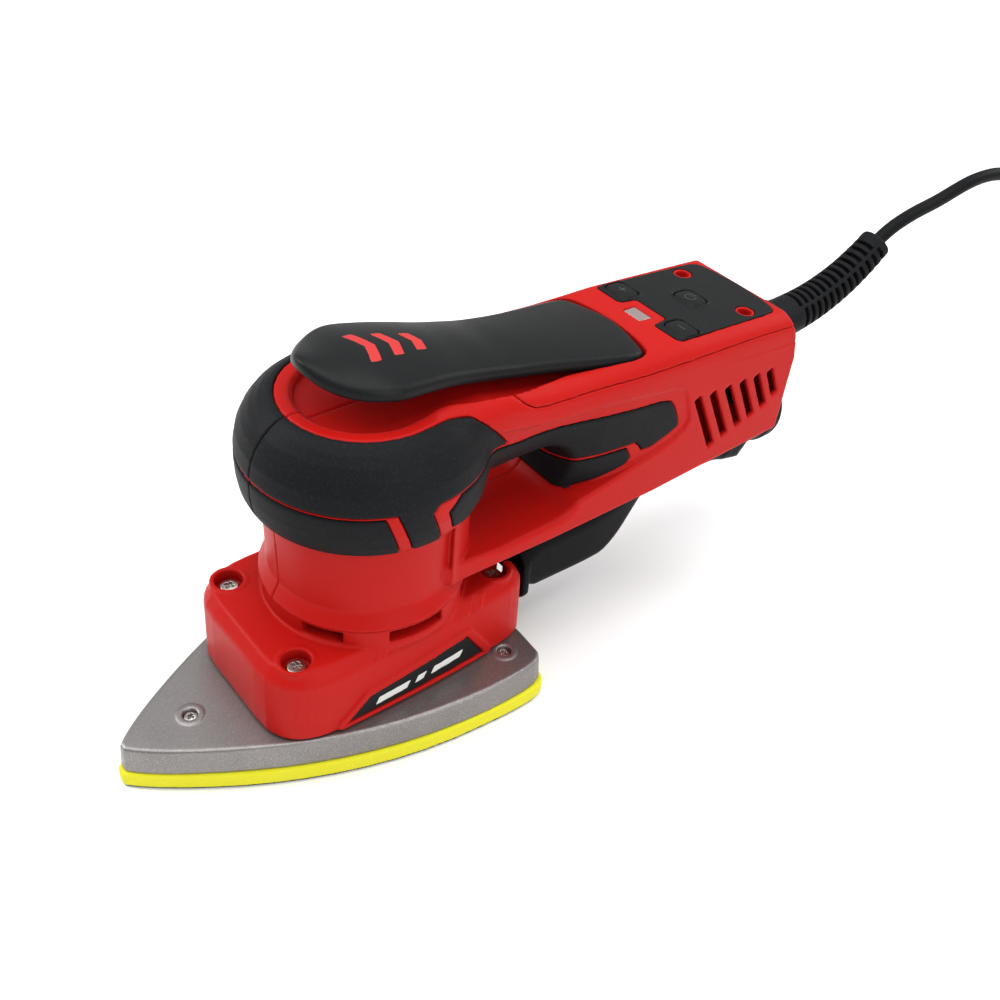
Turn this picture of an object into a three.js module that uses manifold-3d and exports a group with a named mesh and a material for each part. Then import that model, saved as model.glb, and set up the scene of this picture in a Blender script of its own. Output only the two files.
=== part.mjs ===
// Orbital delta sander, in millimetres, +Z up.
// The origin is on the motor's axis at the sanding face, the pad's tip points to -Y
// and the cord leaves towards +Y. +X is the side that carries the label.
import * as THREE from 'three';
import { mergeVertices } from 'three/addons/utils/BufferGeometryUtils.js';
import Module from 'manifold-3d';

const wasm = await Module();
wasm.setup();
const { Manifold, Mesh: SolidMesh } = wasm;

// ---------------------------------------------------------------- driving dimensions
const GAP = 0.3; // clearance between pieces that rest on each other
const WALL = 2.5; // moulded wall thickness
const ORBIT = 1.5; // eccentric offset, half of the 3 mm orbit
const PAD = { halfWidth: 50, tipY: -101, rearY: 51, hookTop: 1.2, top: 7 };
const PLATE = { bottom: 7.3, top: 18.3, bossTop: 28, bossR: 18 };
const BASE = { halfX: 35.8, frontY: -53.5, rearY: 54, bottom: 19, shoulder: 43, top: 49 };
const BASE_SCREW = { x: 23.7, frontY: -42.1, rearY: 41.3 };
const COLUMN_R = 34.1; // motor housing, outside
const BORE_R = 31.9; // motor housing, inside
const HEAD_TOP = 130; // rim of the dish under the lever
const BODY_HALF = 30; // half width of the handle body
const SHELF = { half: 33.5, bottom: 62.5, top: 69 };
const PANEL = { frontY: 121, rearY: 179, frontZ: 121.6, rearZ: 117.6, half: 23.5 };
const LEVER = { pinY: 101, pinZ: 115.2, thick: 4.5 };
const PORT = { r: 19, y: 203, z: 56 };
const CORD_R = 3;
const COIL = { x: 69, y: 436, inner: 23.8, outer: 48.2, bottom: 1.8, top: 26.2 };

const group = new THREE.Group();

// ---------------------------------------------------------------- finishes
const FINISH = {
  red: [0xc92a24, 0.45, 0.0],
  rubber: [0x2c2e30, 0.85, 0.0],
  black: [0x2a2b2d, 0.55, 0.0],
  cast: [0x9a9690, 0.5, 0.9],
  steel: [0xb9bbbd, 0.3, 1.0],
  copper: [0xa8643a, 0.4, 0.8],
  pad: [0xd8de2a, 0.8, 0.0],
  hook: [0x2f5a36, 0.95, 0.0],
  board: [0x1f5c3a, 0.6, 0.0],
  lens: [0xd8c8c8, 0.15, 0.0],
};

// ---------------------------------------------------------------- solids
// Signed volume of an indexed geometry: negative when its faces point inwards.
function signedVolume(geometry) {
  const position = geometry.attributes.position;
  const index = geometry.index.array;
  const [a, b, c] = [new THREE.Vector3(), new THREE.Vector3(), new THREE.Vector3()];
  let volume = 0;
  for (let i = 0; i < index.length; i += 3) {
    a.fromBufferAttribute(position, index[i]);
    b.fromBufferAttribute(position, index[i + 1]);
    c.fromBufferAttribute(position, index[i + 2]);
    volume += a.dot(b.cross(c)) / 6;
  }
  return volume;
}

function solid(geometry) {
  geometry.deleteAttribute('normal');
  geometry.deleteAttribute('uv');
  const merged = mergeVertices(geometry, 1e-4);
  const triVerts = Uint32Array.from(merged.index.array);
  if (signedVolume(merged) < 0) {
    triVerts.reverse();
  }
  const vertProperties = Float32Array.from(merged.attributes.position.array);
  return new Manifold(new SolidMesh({ numProp: 3, vertProperties, triVerts }));
}

function add(name, body, finish) {
  const mesh = body.getMesh();
  const geometry = new THREE.BufferGeometry();
  geometry.setAttribute('position', new THREE.BufferAttribute(mesh.vertProperties, 3));
  geometry.setIndex(new THREE.BufferAttribute(mesh.triVerts, 1));
  const [color, roughness, metalness] = FINISH[finish];
  const piece = new THREE.Mesh(geometry, new THREE.MeshStandardMaterial({ color, roughness, metalness }));
  piece.name = name;
  group.add(piece);
}

// A closed outline as a THREE.Shape.
function outline(points) {
  return new THREE.Shape(points.map(([u, v]) => new THREE.Vector2(u, v)));
}

const BASIS = {
  x: [[0, 1, 0], [0, 0, 1], [1, 0, 0]], // outline in (y, z), swept along x
  y: [[0, 0, 1], [1, 0, 0], [0, 1, 0]], // outline in (z, x), swept along y
  z: [[1, 0, 0], [0, 1, 0], [0, 0, 1]], // outline in (x, y), swept along z
};

// A prism: an outline swept along one axis from low to high, optionally bevelled.
function prism(axis, points, low, high, bevel = 0) {
  const options = { depth: high - low - 2 * bevel, steps: 1, bevelEnabled: bevel > 0, curveSegments: 8 };
  Object.assign(options, { bevelSize: bevel, bevelOffset: -bevel, bevelThickness: bevel, bevelSegments: 1 });
  const geometry = new THREE.ExtrudeGeometry(outline(points), options);
  geometry.translate(0, 0, low + bevel);
  const [u, v, w] = BASIS[axis].map((column) => new THREE.Vector3(...column));
  geometry.applyMatrix4(new THREE.Matrix4().makeBasis(u, v, w));
  return solid(geometry);
}

function block([x0, y0, z0], [x1, y1, z1]) {
  const geometry = new THREE.BoxGeometry(x1 - x0, y1 - y0, z1 - z0);
  geometry.translate((x0 + x1) / 2, (y0 + y1) / 2, (z0 + z1) / 2);
  return solid(geometry);
}

// A solid of revolution about the vertical line through (x, y); points are (radius, z).
function turned(points, x = 0, y = 0, segments = 36) {
  const geometry = new THREE.LatheGeometry(points.map(([r, z]) => new THREE.Vector2(r, z)), segments);
  geometry.rotateX(Math.PI / 2);
  geometry.translate(x, y, 0);
  return solid(geometry);
}

function drum(r, low, high, x = 0, y = 0, segments = 24) {
  return turned([[0, low], [r, low], [r, high], [0, high]], x, y, segments);
}

function ring(inner, outer, low, high, x = 0, y = 0, segments = 24) {
  return drum(outer, low, high, x, y, segments).subtract(drum(inner, low - 1, high + 1, x, y, segments));
}

// A tube of a round section along a smooth route of [x, y, z] points.
function tube(points, radius, steps, sides = 10) {
  const route = new THREE.CatmullRomCurve3(points.map((p) => new THREE.Vector3(...p)));
  const section = [];
  for (let i = 0; i < sides; i += 1) {
    const angle = (2 * Math.PI * i) / sides;
    section.push([radius * Math.cos(angle), radius * Math.sin(angle)]);
  }
  return solid(new THREE.ExtrudeGeometry(outline(section), { steps, extrudePath: route }));
}

// A rounded rectangle centred on (u, v).
function roundedRect(u, v, halfU, halfV, radius, arcSteps = 3) {
  const points = [];
  const corners = [[1, 1, 0], [-1, 1, 90], [-1, -1, 180], [1, -1, 270]];
  for (const [signU, signV, start] of corners) {
    for (let i = 0; i <= arcSteps; i += 1) {
      const angle = THREE.MathUtils.degToRad(start + (90 * i) / arcSteps);
      const cu = u + signU * (halfU - radius);
      const cv = v + signV * (halfV - radius);
      points.push([cu + radius * Math.cos(angle), cv + radius * Math.sin(angle)]);
    }
  }
  return points;
}

// The outline moved sideways by a distance: outwards for a positive one.
function grow(points, distance) {
  const count = points.length;
  const area = points.reduce((sum, [u, v], i) => {
    const [nextU, nextV] = points[(i + 1) % count];
    return sum + u * nextV - nextU * v;
  }, 0);
  const side = Math.sign(area) * distance;
  return points.map((point, i) => {
    const here = new THREE.Vector2(...point);
    const before = here.clone().sub(new THREE.Vector2(...points[(i + count - 1) % count])).normalize();
    const after = new THREE.Vector2(...points[(i + 1) % count]).sub(here).normalize();
    const normal = new THREE.Vector2(before.y + after.y, -before.x - after.x);
    const scale = side / Math.max(0.35, normal.lengthSq() / 2);
    return [here.x + normal.x * scale, here.y + normal.y * scale];
  });
}

const mirrorX = (points) => [...points, ...points.map(([u, v]) => [-u, v]).reverse()];
const isLeft = (side) => side === 'left';

// Everything on one side of the moulding's middle plane.
function halfSpace(side) {
  const [low, high] = isLeft(side) ? [-80, -GAP / 2] : [GAP / 2, 80];
  return block([low, -120, -5], [high, 260, 170]);
}

// ---------------------------------------------------------------- the moulded body, outside
// Top line of the handle at a given place along it.
const PANEL_SLOPE = (PANEL.rearZ - PANEL.frontZ) / (PANEL.rearY - PANEL.frontY);
const panelZ = (y) => PANEL.frontZ + PANEL_SLOPE * (y - PANEL.frontY);

const HEAD_PROFILE = [
  [34.8, 93], [39.9, 93], [41.6, 97], [42.2, 104], [42.3, 111], [41.2, 117],
  [38.6, 122.5], [34.6, 127], [31, 129.4], [29, HEAD_TOP], [24.5, HEAD_TOP], [22.8, 126.4],
];

function columnAndHead() {
  const collar = [[0, 55.8], [36.4, 55.8], [36.4, 56.6], [COLUMN_R, 59.4]];
  return turned([...collar, ...HEAD_PROFILE, [0, 126.4]]);
}

// Side view of the handle, the rear body and the shelf under the finger opening.
const SIDE_VIEW = [
  [12, SHELF.bottom], [100, SHELF.bottom + 1], [150, 65.5], [180, 67], [182, 82.3], [184.5, 98.3],
  [182.8, 108.6], [180.5, 115.4], [PANEL.rearY, PANEL.rearZ], [PANEL.frontY - 1, PANEL.frontZ],
  [85, 121.4], [60, 124.6], [40, 129], [22, 129.5], [0, 118],
];
const NECK_BOTTOM = 95;
const OPENING = [
  [35.5, SHELF.top], [64, SHELF.top], [69, 72], [71.5, 78], [72.5, 84], [71, 90], [66, 94], [58, NECK_BOTTOM],
  [46, NECK_BOTTOM], [38, 92.5], [35.5, 88],
];
const BODY_SECTION = [
  [SHELF.half - 1, 60], [SHELF.half, 64], [SHELF.half, SHELF.top + 1], [31.5, 80], [31, 100], [BODY_HALF,
    114],
  [29, 118.5], [26, 121.5], [23, 123], [21, 131],
];
const NECK_SECTION = [[18, NECK_BOTTOM - 1], [23.5, 99], [26.5, 106], [27.5, 118], [27, 124], [25, 131]];

const asZX = (points) => mirrorX(points).map(([x, z]) => [z, x]);

function handle() {
  const rear = prism('y', asZX(BODY_SECTION), 66, 186);
  const shelf = prism('y', asZX([[SHELF.half - 1, 60], [SHELF.half, 64], [SHELF.half, SHELF.top + 1],
    [0.1, SHELF.top + 1]]), 10, 68);
  const neck = prism('y', asZX(NECK_SECTION), 0, 68);
  const opening = prism('x', OPENING, -60, 60);
  return rear.add(shelf).add(neck).intersect(prism('x', SIDE_VIEW, -40, 40)).subtract(opening);
}

const LEVER_PLAN = [
  [0, -24.5], [7, -20.2], [12.5, -16.7], [17.5, -12.6], [21.2, -8], [22.8, -3.6], [23.1, 1], [22.4, 6],
  [21.1, 14.4], [19.8, 23], [19, 32], [18.6, 42], [18.6, 52], [19.3, 66.6], [21.7, 83.3], [24.4, 105.4],
    [14, 108.6], [0, 110],
];
const leverOutline = () => [...LEVER_PLAN, ...LEVER_PLAN.slice(1, -1).map(([x, y]) => [-x, y]).reverse()];

// The trough that the lever sinks into, down to its underside at full press.
function leverTrough() {
  const floor = [[-60, 126.4], [28, 126.4], [40, 123], [66, 119.4], [84, 117.6], [94, 114.5], [96, 112],
    [107.5, 112], [109, 113], [111.2, 114.6]];
  const above = prism('x', [...floor, [111.2, 150], [-60, 150]], -30, 30);
  return above.intersect(prism('z', grow(leverOutline(), 0.7), 100, 160));
}

const bodyOuter = columnAndHead().add(handle()).subtract(leverTrough());

// ---------------------------------------------------------------- the moulded body, inside
const CAVITY_TOP = 108.5; // underside of the trough's floor

function bodyInner() {
  const bore = drum(BORE_R, 50, 120.5, 0, 0, 36);
  const neck = block([-20, 10, 100.5], [20, 80, CAVITY_TOP]);
  const low = [[75, 72], [177, 72], [180, 84], [180, 106], [176, 113]];
  const rear = prism('x', [...low, [113.5, 117.4], [113.5, CAVITY_TOP], [75, CAVITY_TOP]], -27.5, 27.5);
  const bearingSeat = ring(11.3, BORE_R + 1, 96, 102, 0, 0, 36);
  const collarSeat = drum(33.4, 50, 58.4, 0, 0, 36);
  return bore.add(collarSeat).add(neck).add(rear).subtract(bearingSeat);
}

// Six slanted air slots on each side of the rear body.
function airSlots() {
  const slots = [];
  for (let i = 0; i < 6; i += 1) {
    const y = 127 + 7.6 * i;
    const top = 106 - 0.5 * i;
    const bottom = 77 + 3 * i;
    const lean = (top - bottom) * 0.2;
    slots.push(prism('x', [[y, bottom], [y + 3.8, bottom], [y + 3.8 - lean, top], [y - lean, top]], -60, 60));
  }
  return Manifold.union(slots);
}

const PARTING = [[36, 150], [36, 129.5], [42, 127], [46, 123.3], [50, 121.5], [54, 121], [102, 116.6],
  [190, 111.5], [190, 150]];
const PALM_PATCH = [
  [46.5, 108.2], [51, 108.8], [62, 108], [80, 105.5], [98, 102.4], [115, 100.6], [118, 99.4], [122, 88],
  [120, 85], [80, 74.5], [74, 74], [68, 76], [66, 96], [49, 96.6],
];
const HEAD_PATCH = [[-60, 111.6], [40, 111.6], [33, 118], [26, 126.5], [20, 132], [-60, 132]];
const BAND_PATCH = [[-60, 92], [4, 92], [-1, 109], [-60, 109]];
const REAR_BAND_PATCH = [[10, 92], [60, 92], [60, 96], [40, 97], [44, 106], [38, 109], [5, 109]];

// The layer of rubber on the head, of one depth under the outside surface.
function headSkin(depth) {
  const wall = [[50, 92], [50, 134], [0, 134]];
  const core = HEAD_PROFILE.slice(1, 9).map(([r, z]) => [r - depth, z - (z > 115 ? depth * 0.6 : 0)]);
  const inside = turned([[0, 80], [39.9 - depth, 80], ...core, [31 - depth, 140], [0, 140]]);
  return turned([[0, 92], ...wall]).subtract(inside);
}

// A band of that rubber, stopping where the neck joins the head.
function patch(points, margin, depth) {
  const region = prism('x', grow(points, margin), -60, 60);
  const neck = prism('y', grow(asZX(NECK_SECTION), GAP - margin), 12, 68);
  return region.intersect(headSkin(depth)).subtract(neck);
}

function palmPatch(margin, depth) {
  const region = prism('x', grow(PALM_PATCH, margin), -60, 60);
  return region.subtract(block([-27 + depth, -10, 60], [27 - depth, 200, 140]));
}

const recesses = patch(HEAD_PATCH, GAP, 2.6).add(patch(BAND_PATCH, GAP, 2.6))
  .add(patch(REAR_BAND_PATCH, GAP, 2.6)).add(palmPatch(GAP, 0.9));

const PANEL_PLAN = [
  [-PANEL.half, 121.5], [-9, 121.5], [-8, 130], [8, 130], [9, 121.5], [PANEL.half, 121.5],
  [22, 172], [12, 177], [0, 178.2], [-12, 177], [-22, 172],
];
const BUTTONS = {
  button_plus: [-16.6, 129.2],
  button_minus: [16.6, 129.2],
  button_power: [0, 150.6],
};
const COVER_SCREWS = [[-17.4, 163.6], [17.4, 163.6]];
const buttonPlan = ([x, y], margin) => roundedRect(x, y, 5.8 + margin, 4.6 + margin, 2.6);

// A layer that follows the sloping top, between two depths under it.
function topLayer(from, to) {
  const [front, rear] = [PANEL.frontY - 8, PANEL.rearY + 6];
  return prism('x', [[front, panelZ(front) - to], [rear, panelZ(rear) - to], [rear, panelZ(rear) - from],
    [front, panelZ(front) - from]], -40, 40);
}

// What belongs to the cover: all above the parting line, and the floor of the trough.
function coverRegion(margin) {
  const floor = block([-25.5 - margin, 38 - margin, 108 - margin], [25.5 + margin, 178 + margin, 160]);
  return prism('x', grow(PARTING, margin), -60, 60).add(floor);
}

function housing() {
  const panelRecess = topLayer(-20, 1.8).intersect(prism('z', grow(PANEL_PLAN, GAP), 100, 140));
  const shell = bodyOuter.subtract(bodyInner()).subtract(airSlots()).subtract(recesses);
  const cordBore = prism('y', roundedRect(92, 0, 11.6, 11.6, 11.5), 176, 190);
  const lower = shell.subtract(coverRegion(0)).subtract(cordBore);
  for (const side of ['left', 'right']) {
    add(`housing_${side}`, lower.intersect(halfSpace(side)), 'red');
  }
  const holes = Object.values(BUTTONS).map((at) => prism('z', buttonPlan(at, 0.5), 100, 140));
  const bores = COVER_SCREWS.map(([x, y]) => drum(3.3, 112.5, 140, x, y, 12));
  const finger = block([-4, 84.5, 100], [4, 92, 130]);
  const springPocket = drum(4.6, 115.4, 130, 0, 74, 20);
  const lens = block([-6.3, 116.4, 110], [6.3, 124.9, 130]);
  const cover = bodyOuter.subtract(bodyInner()).intersect(coverRegion(-GAP)).subtract(panelRecess).subtract(finger)
    .subtract(springPocket).subtract(lens).subtract(Manifold.union([...holes, ...bores]));
  add('top_cover', cover.add(pinEars()).subtract(pinBore(1.8)), 'red');
  add('led_window', block([-5.9, 116.8, 113.4], [5.9, 124.5, 121.2]), 'lens');
  const panel = topLayer(0.1, 1.5).intersect(prism('z', PANEL_PLAN, 100, 140));
  add('keypad_panel', panel.subtract(Manifold.union([...holes, ...bores])), 'rubber');
  COVER_SCREWS.forEach(([x, y], i) => {
    const screw = drum(2.9, 112.9, 115.2, x, y, 12).subtract(block([x - 2, y - 0.4, 114.2], [x + 2,
      y + 0.4, 116]));
    add(`cover_screw_${i + 1}`, screw, 'steel');
  });
}

function grips() {
  const outside = bodyOuter;
  for (const side of ['left', 'right']) {
    const here = halfSpace(side);
    add(`head_grip_${side}`, patch(HEAD_PATCH, 0, 2.3).intersect(outside).intersect(here), 'rubber');
    add(`lower_band_${side}`, patch(BAND_PATCH, 0, 2.3).intersect(outside).intersect(here), 'rubber');
    add(`neck_band_${side}`, patch(REAR_BAND_PATCH, 0, 2.3).intersect(outside).intersect(here), 'rubber');
    add(`palm_grip_${side}`, palmPatch(0, 0.6).intersect(outside).intersect(here), 'rubber');
  }
}

// ---------------------------------------------------------------- lever and its fittings
const pinBore = (radius) => prism('x', roundedRect(LEVER.pinY, LEVER.pinZ, radius, radius, radius - 0.05),
  -20, 20);

// Two ears of the cover that hold the ends of the lever's pin.
function pinEars() {
  const [low, high] = [[LEVER.pinY - 3.6, 111.5], [LEVER.pinY + 3.6, 116.4]];
  const ears = [-15, 10].map((x) => block([x, ...low], [x + 5, ...high]));
  return Manifold.union(ears);
}

function lever() {
  const top = [
    [-24.5, 148], [-12.8, 146], [0, 145], [14.4, 142], [32, 137.4], [49.4, 132.8], [66.6, 129.2], [83.3,
      125.9],
    [105.4, 122], [110, 121.4],
  ];
  const under = top.map(([y, z]) => [y, z - LEVER.thick - 1.2]).reverse();
  const plate = prism('x', [...top, ...under], -30, 30).intersect(prism('z', leverOutline(), 90, 160));
  const hub = block([-9, LEVER.pinY - 3.4, LEVER.pinZ - 2.6], [9, LEVER.pinY + 3.4, 119]);
  const finger = block([-3, 86.3, 109.4], [3, 90, 121]);
  add('lever', plate.add(hub).add(finger).subtract(pinBore(1.6)), 'black');
  add('lever_pin', prism('x', roundedRect(LEVER.pinY, LEVER.pinZ, 1.5, 1.5, 1.48), -14, 14), 'steel');
  add('lever_switch', block([-6, 82, 102.9], [6, 94, 108.2]), 'black');
  const turns = 4;
  const route = [];
  for (let i = 0; i <= turns * 8; i += 1) {
    const angle = (i * Math.PI) / 4;
    route.push([3.2 * Math.cos(angle), 74 + 3.2 * Math.sin(angle), 116.2 + (4.4 * i) / (turns * 8)]);
  }
  add('lever_spring', tube(route, 0.4, turns * 10, 5), 'steel');
}

function buttons() {
  for (const [name, at] of Object.entries(BUTTONS)) {
    add(name, topLayer(-0.5, 2.6).intersect(prism('z', buttonPlan(at, 0), 100, 140)), 'rubber');
  }
}

// ---------------------------------------------------------------- base, legs and label
const BASE_PLAN = [
  [0, BASE.frontY], [20, BASE.frontY], [28, -51.2], [33, -45.6], [35.2, -38], [BASE.halfX, -30],
    [BASE.halfX, 5],
  [34.8, 36], [33.4, 46], [30, 51.6], [25, BASE.rearY], [0, BASE.rearY],
];
const basePlan = () => mirrorX(BASE_PLAN.slice(1, -1));
const LEGS = [
  [-BASE_SCREW.x, BASE_SCREW.frontY], [BASE_SCREW.x, BASE_SCREW.frontY],
  [-BASE_SCREW.x, BASE_SCREW.rearY], [BASE_SCREW.x, BASE_SCREW.rearY],
];
const LABEL_SIDE = [[-30, 21], [30.5, 21], [21.5, 34.5], [-20.5, 29.4]];
const DUCT_MOUTH = roundedRect(36.5, 0, 9.5, 20, 6);

function baseShell() {
  const body = prism('z', basePlan(), BASE.bottom, BASE.shoulder);
  const crown = prism('z', basePlan(), 20, BASE.top, 4.2).intersect(block([-60, -60, 30], [60, 60, 60]));
  const inside = prism('z', grow(basePlan(), -WALL), 10, BASE.top - 3);
  const neck = ring(30.6, 33, BASE.top - 0.5, 58, 0, 0, 36);
  const windows = [45, 135, 225, 315].map((degrees) => {
    const slot = block([26, -9.5, 50.2], [40, 9.5, 54.4]);
    return slot.rotate([0, 0, degrees]);
  });
  const bosses = LEGS.map(([x, y]) => drum(6.4, 42.5, BASE.top - 2.8, x, y, 14));
  const counterbores = LEGS.map(([x, y]) => drum(5.4, 46.4, 60, x, y, 14));
  const screwHoles = LEGS.map(([x, y]) => drum(2.0, 30, 60, x, y, 10));
  const labels = prism('x', grow(LABEL_SIDE, GAP), BASE.halfX - 1.7, 60);
  const shell = body.add(crown).subtract(inside).subtract(drum(30.6, 40, 60, 0, 0, 36)).add(neck);
  const cuts = Manifold.union([...windows, ...counterbores, ...screwHoles, labels, prism('y', DUCT_MOUTH,
    48, 60)]);
  add('base_shell', shell.add(Manifold.union(bosses)).subtract(cuts), 'red');
  const label = prism('x', LABEL_SIDE, BASE.halfX - 1.4, 60).intersect(prism('z', basePlan(), BASE.bottom,
    BASE.shoulder));
  add('label_plate', label, 'black');
  LEGS.forEach(([x, y], i) => {
    const driver = block([x - 1.8, y - 0.4, 47.6], [x + 1.8, y + 0.4, 50]).add(block([x - 0.4, y - 1.8,
      47.6], [x + 0.4, y + 1.8, 50]));
    add(`base_screw_${i + 1}`, drum(3.1, 46.7, 48.6, x, y, 14).add(drum(1.7, 34, 47, x, y,
      10)).subtract(driver), 'steel');
    const post = turned([[0, 14], [5, 14], [5, 20], [4, 24], [4, 36], [5.2, 40], [5.2, 42.2], [0, 42.2]],
      x, y, 14);
    add(`elastic_leg_${i + 1}`, post.subtract(drum(2, 33, 60, x, y, 10)), 'rubber');
  });
}

// ---------------------------------------------------------------- plate and pad
// The delta outline: two long bowed sides that meet at the rounded tip.
function deltaOutline(halfWidth, tipY, rearY) {
  const side = [];
  const steps = 12;
  for (let i = 0; i <= steps; i += 1) {
    const t = i / steps;
    const y = tipY + 2 + t * (rearY - tipY - 8);
    side.push([3 + (halfWidth - 3) * (1 - (1 - t) ** 1.75), y]);
  }
  side.push([halfWidth - 0.6, rearY - 3.2], [halfWidth - 3.4, rearY - 0.4], [20, rearY + 0.6]);
  return mirrorX([[1.4, tipY + 0.3], ...side]);
}

const PLATE_SCREWS = [[0, -71.8], [-37, 38.9], [37, 38.9]];
const DUST_HOLES = [[0, -45], [-24, -18], [24, -18], [-27, 14], [27, 14], [0, 36]];

function padAssembly() {
  const boss = drum(PLATE.bossR, PLATE.top - 1, PLATE.bossTop, 0, ORBIT, 32);
  const seat = drum(13.2, PLATE.top + 1.4, 40, 0, ORBIT, 32);
  const plate = prism('z', deltaOutline(PAD.halfWidth - 2, PAD.tipY + 2.3, PAD.rearY - 0.6), PLATE.bottom,
    PLATE.top).add(boss);
  const cups = LEGS.map(([x, y]) => drum(8, 12, 30, x, y + ORBIT, 24));
  const dust = DUST_HOLES.map(([x, y]) => drum(3.4, -1, 30, x, y, 10));
  const shafts = PLATE_SCREWS.map(([x, y]) => drum(2.2, 9, 30, x, y, 10).add(drum(4.3, 15.4, 30, x, y, 14)));
  add('base_plate', plate.subtract(Manifold.union([seat, ...cups, ...dust, ...shafts])), 'cast');
  PLATE_SCREWS.forEach(([x, y], i) => {
    const driver = block([x - 1.9, y - 0.4, 16.9], [x + 1.9, y + 0.4, 20]).add(block([x - 0.4, y - 1.9,
      16.9], [x + 0.4, y + 1.9, 20]));
    const head = drum(3.7, 15.7, 17.9, x, y, 14).add(drum(1.8, 9.4, 16, x, y, 10));
    add(`plate_screw_${i + 1}`, head.subtract(driver), 'steel');
  });
  const holes = Manifold.union(dust);
  const foam = prism('z', deltaOutline(PAD.halfWidth, PAD.tipY, PAD.rearY), PAD.hookTop + GAP, PAD.top);
  add('sanding_pad', foam.subtract(holes), 'pad');
  const hook = prism('z', deltaOutline(PAD.halfWidth - 0.6, PAD.tipY + 0.8, PAD.rearY - 0.6), 0, PAD.hookTop);
  add('hook_layer', hook.subtract(holes), 'hook');
  add('drive_bearing', ring(5.1, 12.9, PLATE.top + 1.8, 27.6, 0, ORBIT, 32), 'steel');
}

// ---------------------------------------------------------------- motor
function motor() {
  const rotorR = 18.8;
  add('motor_stator', ring(19.6, 31.4, 62, 90, 0, 0, 36), 'copper');
  const shaft = drum(4, 38.6, 103, 0, 0, 32);
  const pin = drum(5, PLATE.top + 2, 28.4, 0, ORBIT, 32);
  const web = drum(9, 28.3, 30.2, 0, 0, 32);
  const mass = drum(23, 30, 38.7, 0, 0, 32).subtract(block([-30, 4, 20], [30, 40, 50])).add(drum(9, 30,
    38.7));
  add('eccentric_weight', pin.add(web).add(mass).subtract(drum(4.3, 37, 60)), 'cast');
  add('motor_shaft', shaft.add(drum(4, 37.4, 40)), 'steel');
  add('rotor_core', ring(4.3, rotorR, 61, 91, 0, 0, 32), 'steel');
  const blades = [];
  for (let i = 0; i < 9; i += 1) {
    blades.push(block([9, -0.8, 40.6], [27, 0.8, 47.5]).rotate([0, 0, 40 * i]));
  }
  const fan = drum(27, 39.4, 41, 0, 0, 32).add(drum(10, 39.4, 47.5)).add(Manifold.union(blades));
  add('cooling_fan', fan.subtract(drum(4.3, 30, 60)), 'black');
  const bearingCup = drum(14, 50, 57.6, 0, 0, 32).subtract(drum(11.3, 51, 60)).subtract(drum(6, 40, 60));
  const rim = drum(30.2, 50, 57.6, 0, 0, 36).subtract(drum(25.5, 53, 60, 0, 0, 32)).subtract(drum(13.5,
    40, 60));
  add('motor_bracket', rim.add(bearingCup), 'cast');
  add('lower_bearing', ring(4.1, 11, 51.3, 57.6, 0, 0, 32), 'steel');
  add('upper_bearing', ring(4.1, 11, 96, 102, 0, 0, 32), 'steel');
}

// ---------------------------------------------------------------- electronics
function electronics() {
  add('control_board', block([-18, 78, 103.4 - 2.2], [18, 81.4, 103.4 - 0.8]).add(block([-18, 81, 101.2],
    [18, 160, 102.6])), 'board');
  const fins = [];
  for (let i = 0; i < 7; i += 1) {
    fins.push(block([-18 + 5.6 * i, 92, 88], [-16.4 + 5.6 * i, 132, 99]));
  }
  add('heat_sink', block([-18, 92, 98], [17.8, 132, 100.9]).add(Manifold.union(fins)), 'cast');
  add('keypad_board', block([-19, 126, 107], [19, 158, 108.4]), 'board');
  add('cord_clamp', block([-12, 166, 84.6], [12, 174, 88.4]), 'black');
}

// ---------------------------------------------------------------- dust duct
const DUCT_VIEW = [
  [54.3, 25.5], [98, 24.6], [104, 26], [111, 31], [118, 39], [125, 45.5], [134, 48.5], [152, 46], [176, 40],
  [184.8, 39], [184.8, 64.8], [150, 63.6], [130, 59], [116, 54], [98, 50.4], [54.3, 49.6],
];

function dustDuct() {
  const section = mirrorX([[10, 20], [17, 20], [22.5, 26], [23, 44], [20, 70]]).map(([x, z]) => [z, x]);
  const body = prism('x', DUCT_VIEW, -23, 23).intersect(prism('y', section, 40, 190));
  const port = prism('y', roundedRect(PORT.z, 0, PORT.r, PORT.r, PORT.r - 0.1, 6), 184.7, PORT.y);
  const lower = block([-40, 160, 20], [40, 184.8, 65]);
  const root = prism('y', roundedRect(PORT.z, 0, PORT.r, PORT.r, PORT.r - 0.1, 6), 170, 185).intersect(lower);
  const hollow = prism('x', grow(DUCT_VIEW, -2.2), -20.6, 20.6).add(prism('y', roundedRect(PORT.z, 0, 15,
    15, 14.9, 6), 182, 210)
    .intersect(block([-40, 160, 20], [40, 184.8, 62]).add(block([-40, 184.7, 20], [40, 220, 90]))));
  const inlet = prism('y', roundedRect(36.8, 0, 9, 17, 5), 50, 60);
  const flange = prism('y', roundedRect(38, 0, 12.4, 27, 7), 54.3, 57.6);
  const catchLug = block([-14, 154, 41], [14, 172, 46]);
  const outside = body.add(port).add(root).add(flange).add(catchLug);
  add('dust_duct', outside.subtract(hollow).subtract(inlet), 'black');
}

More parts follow.
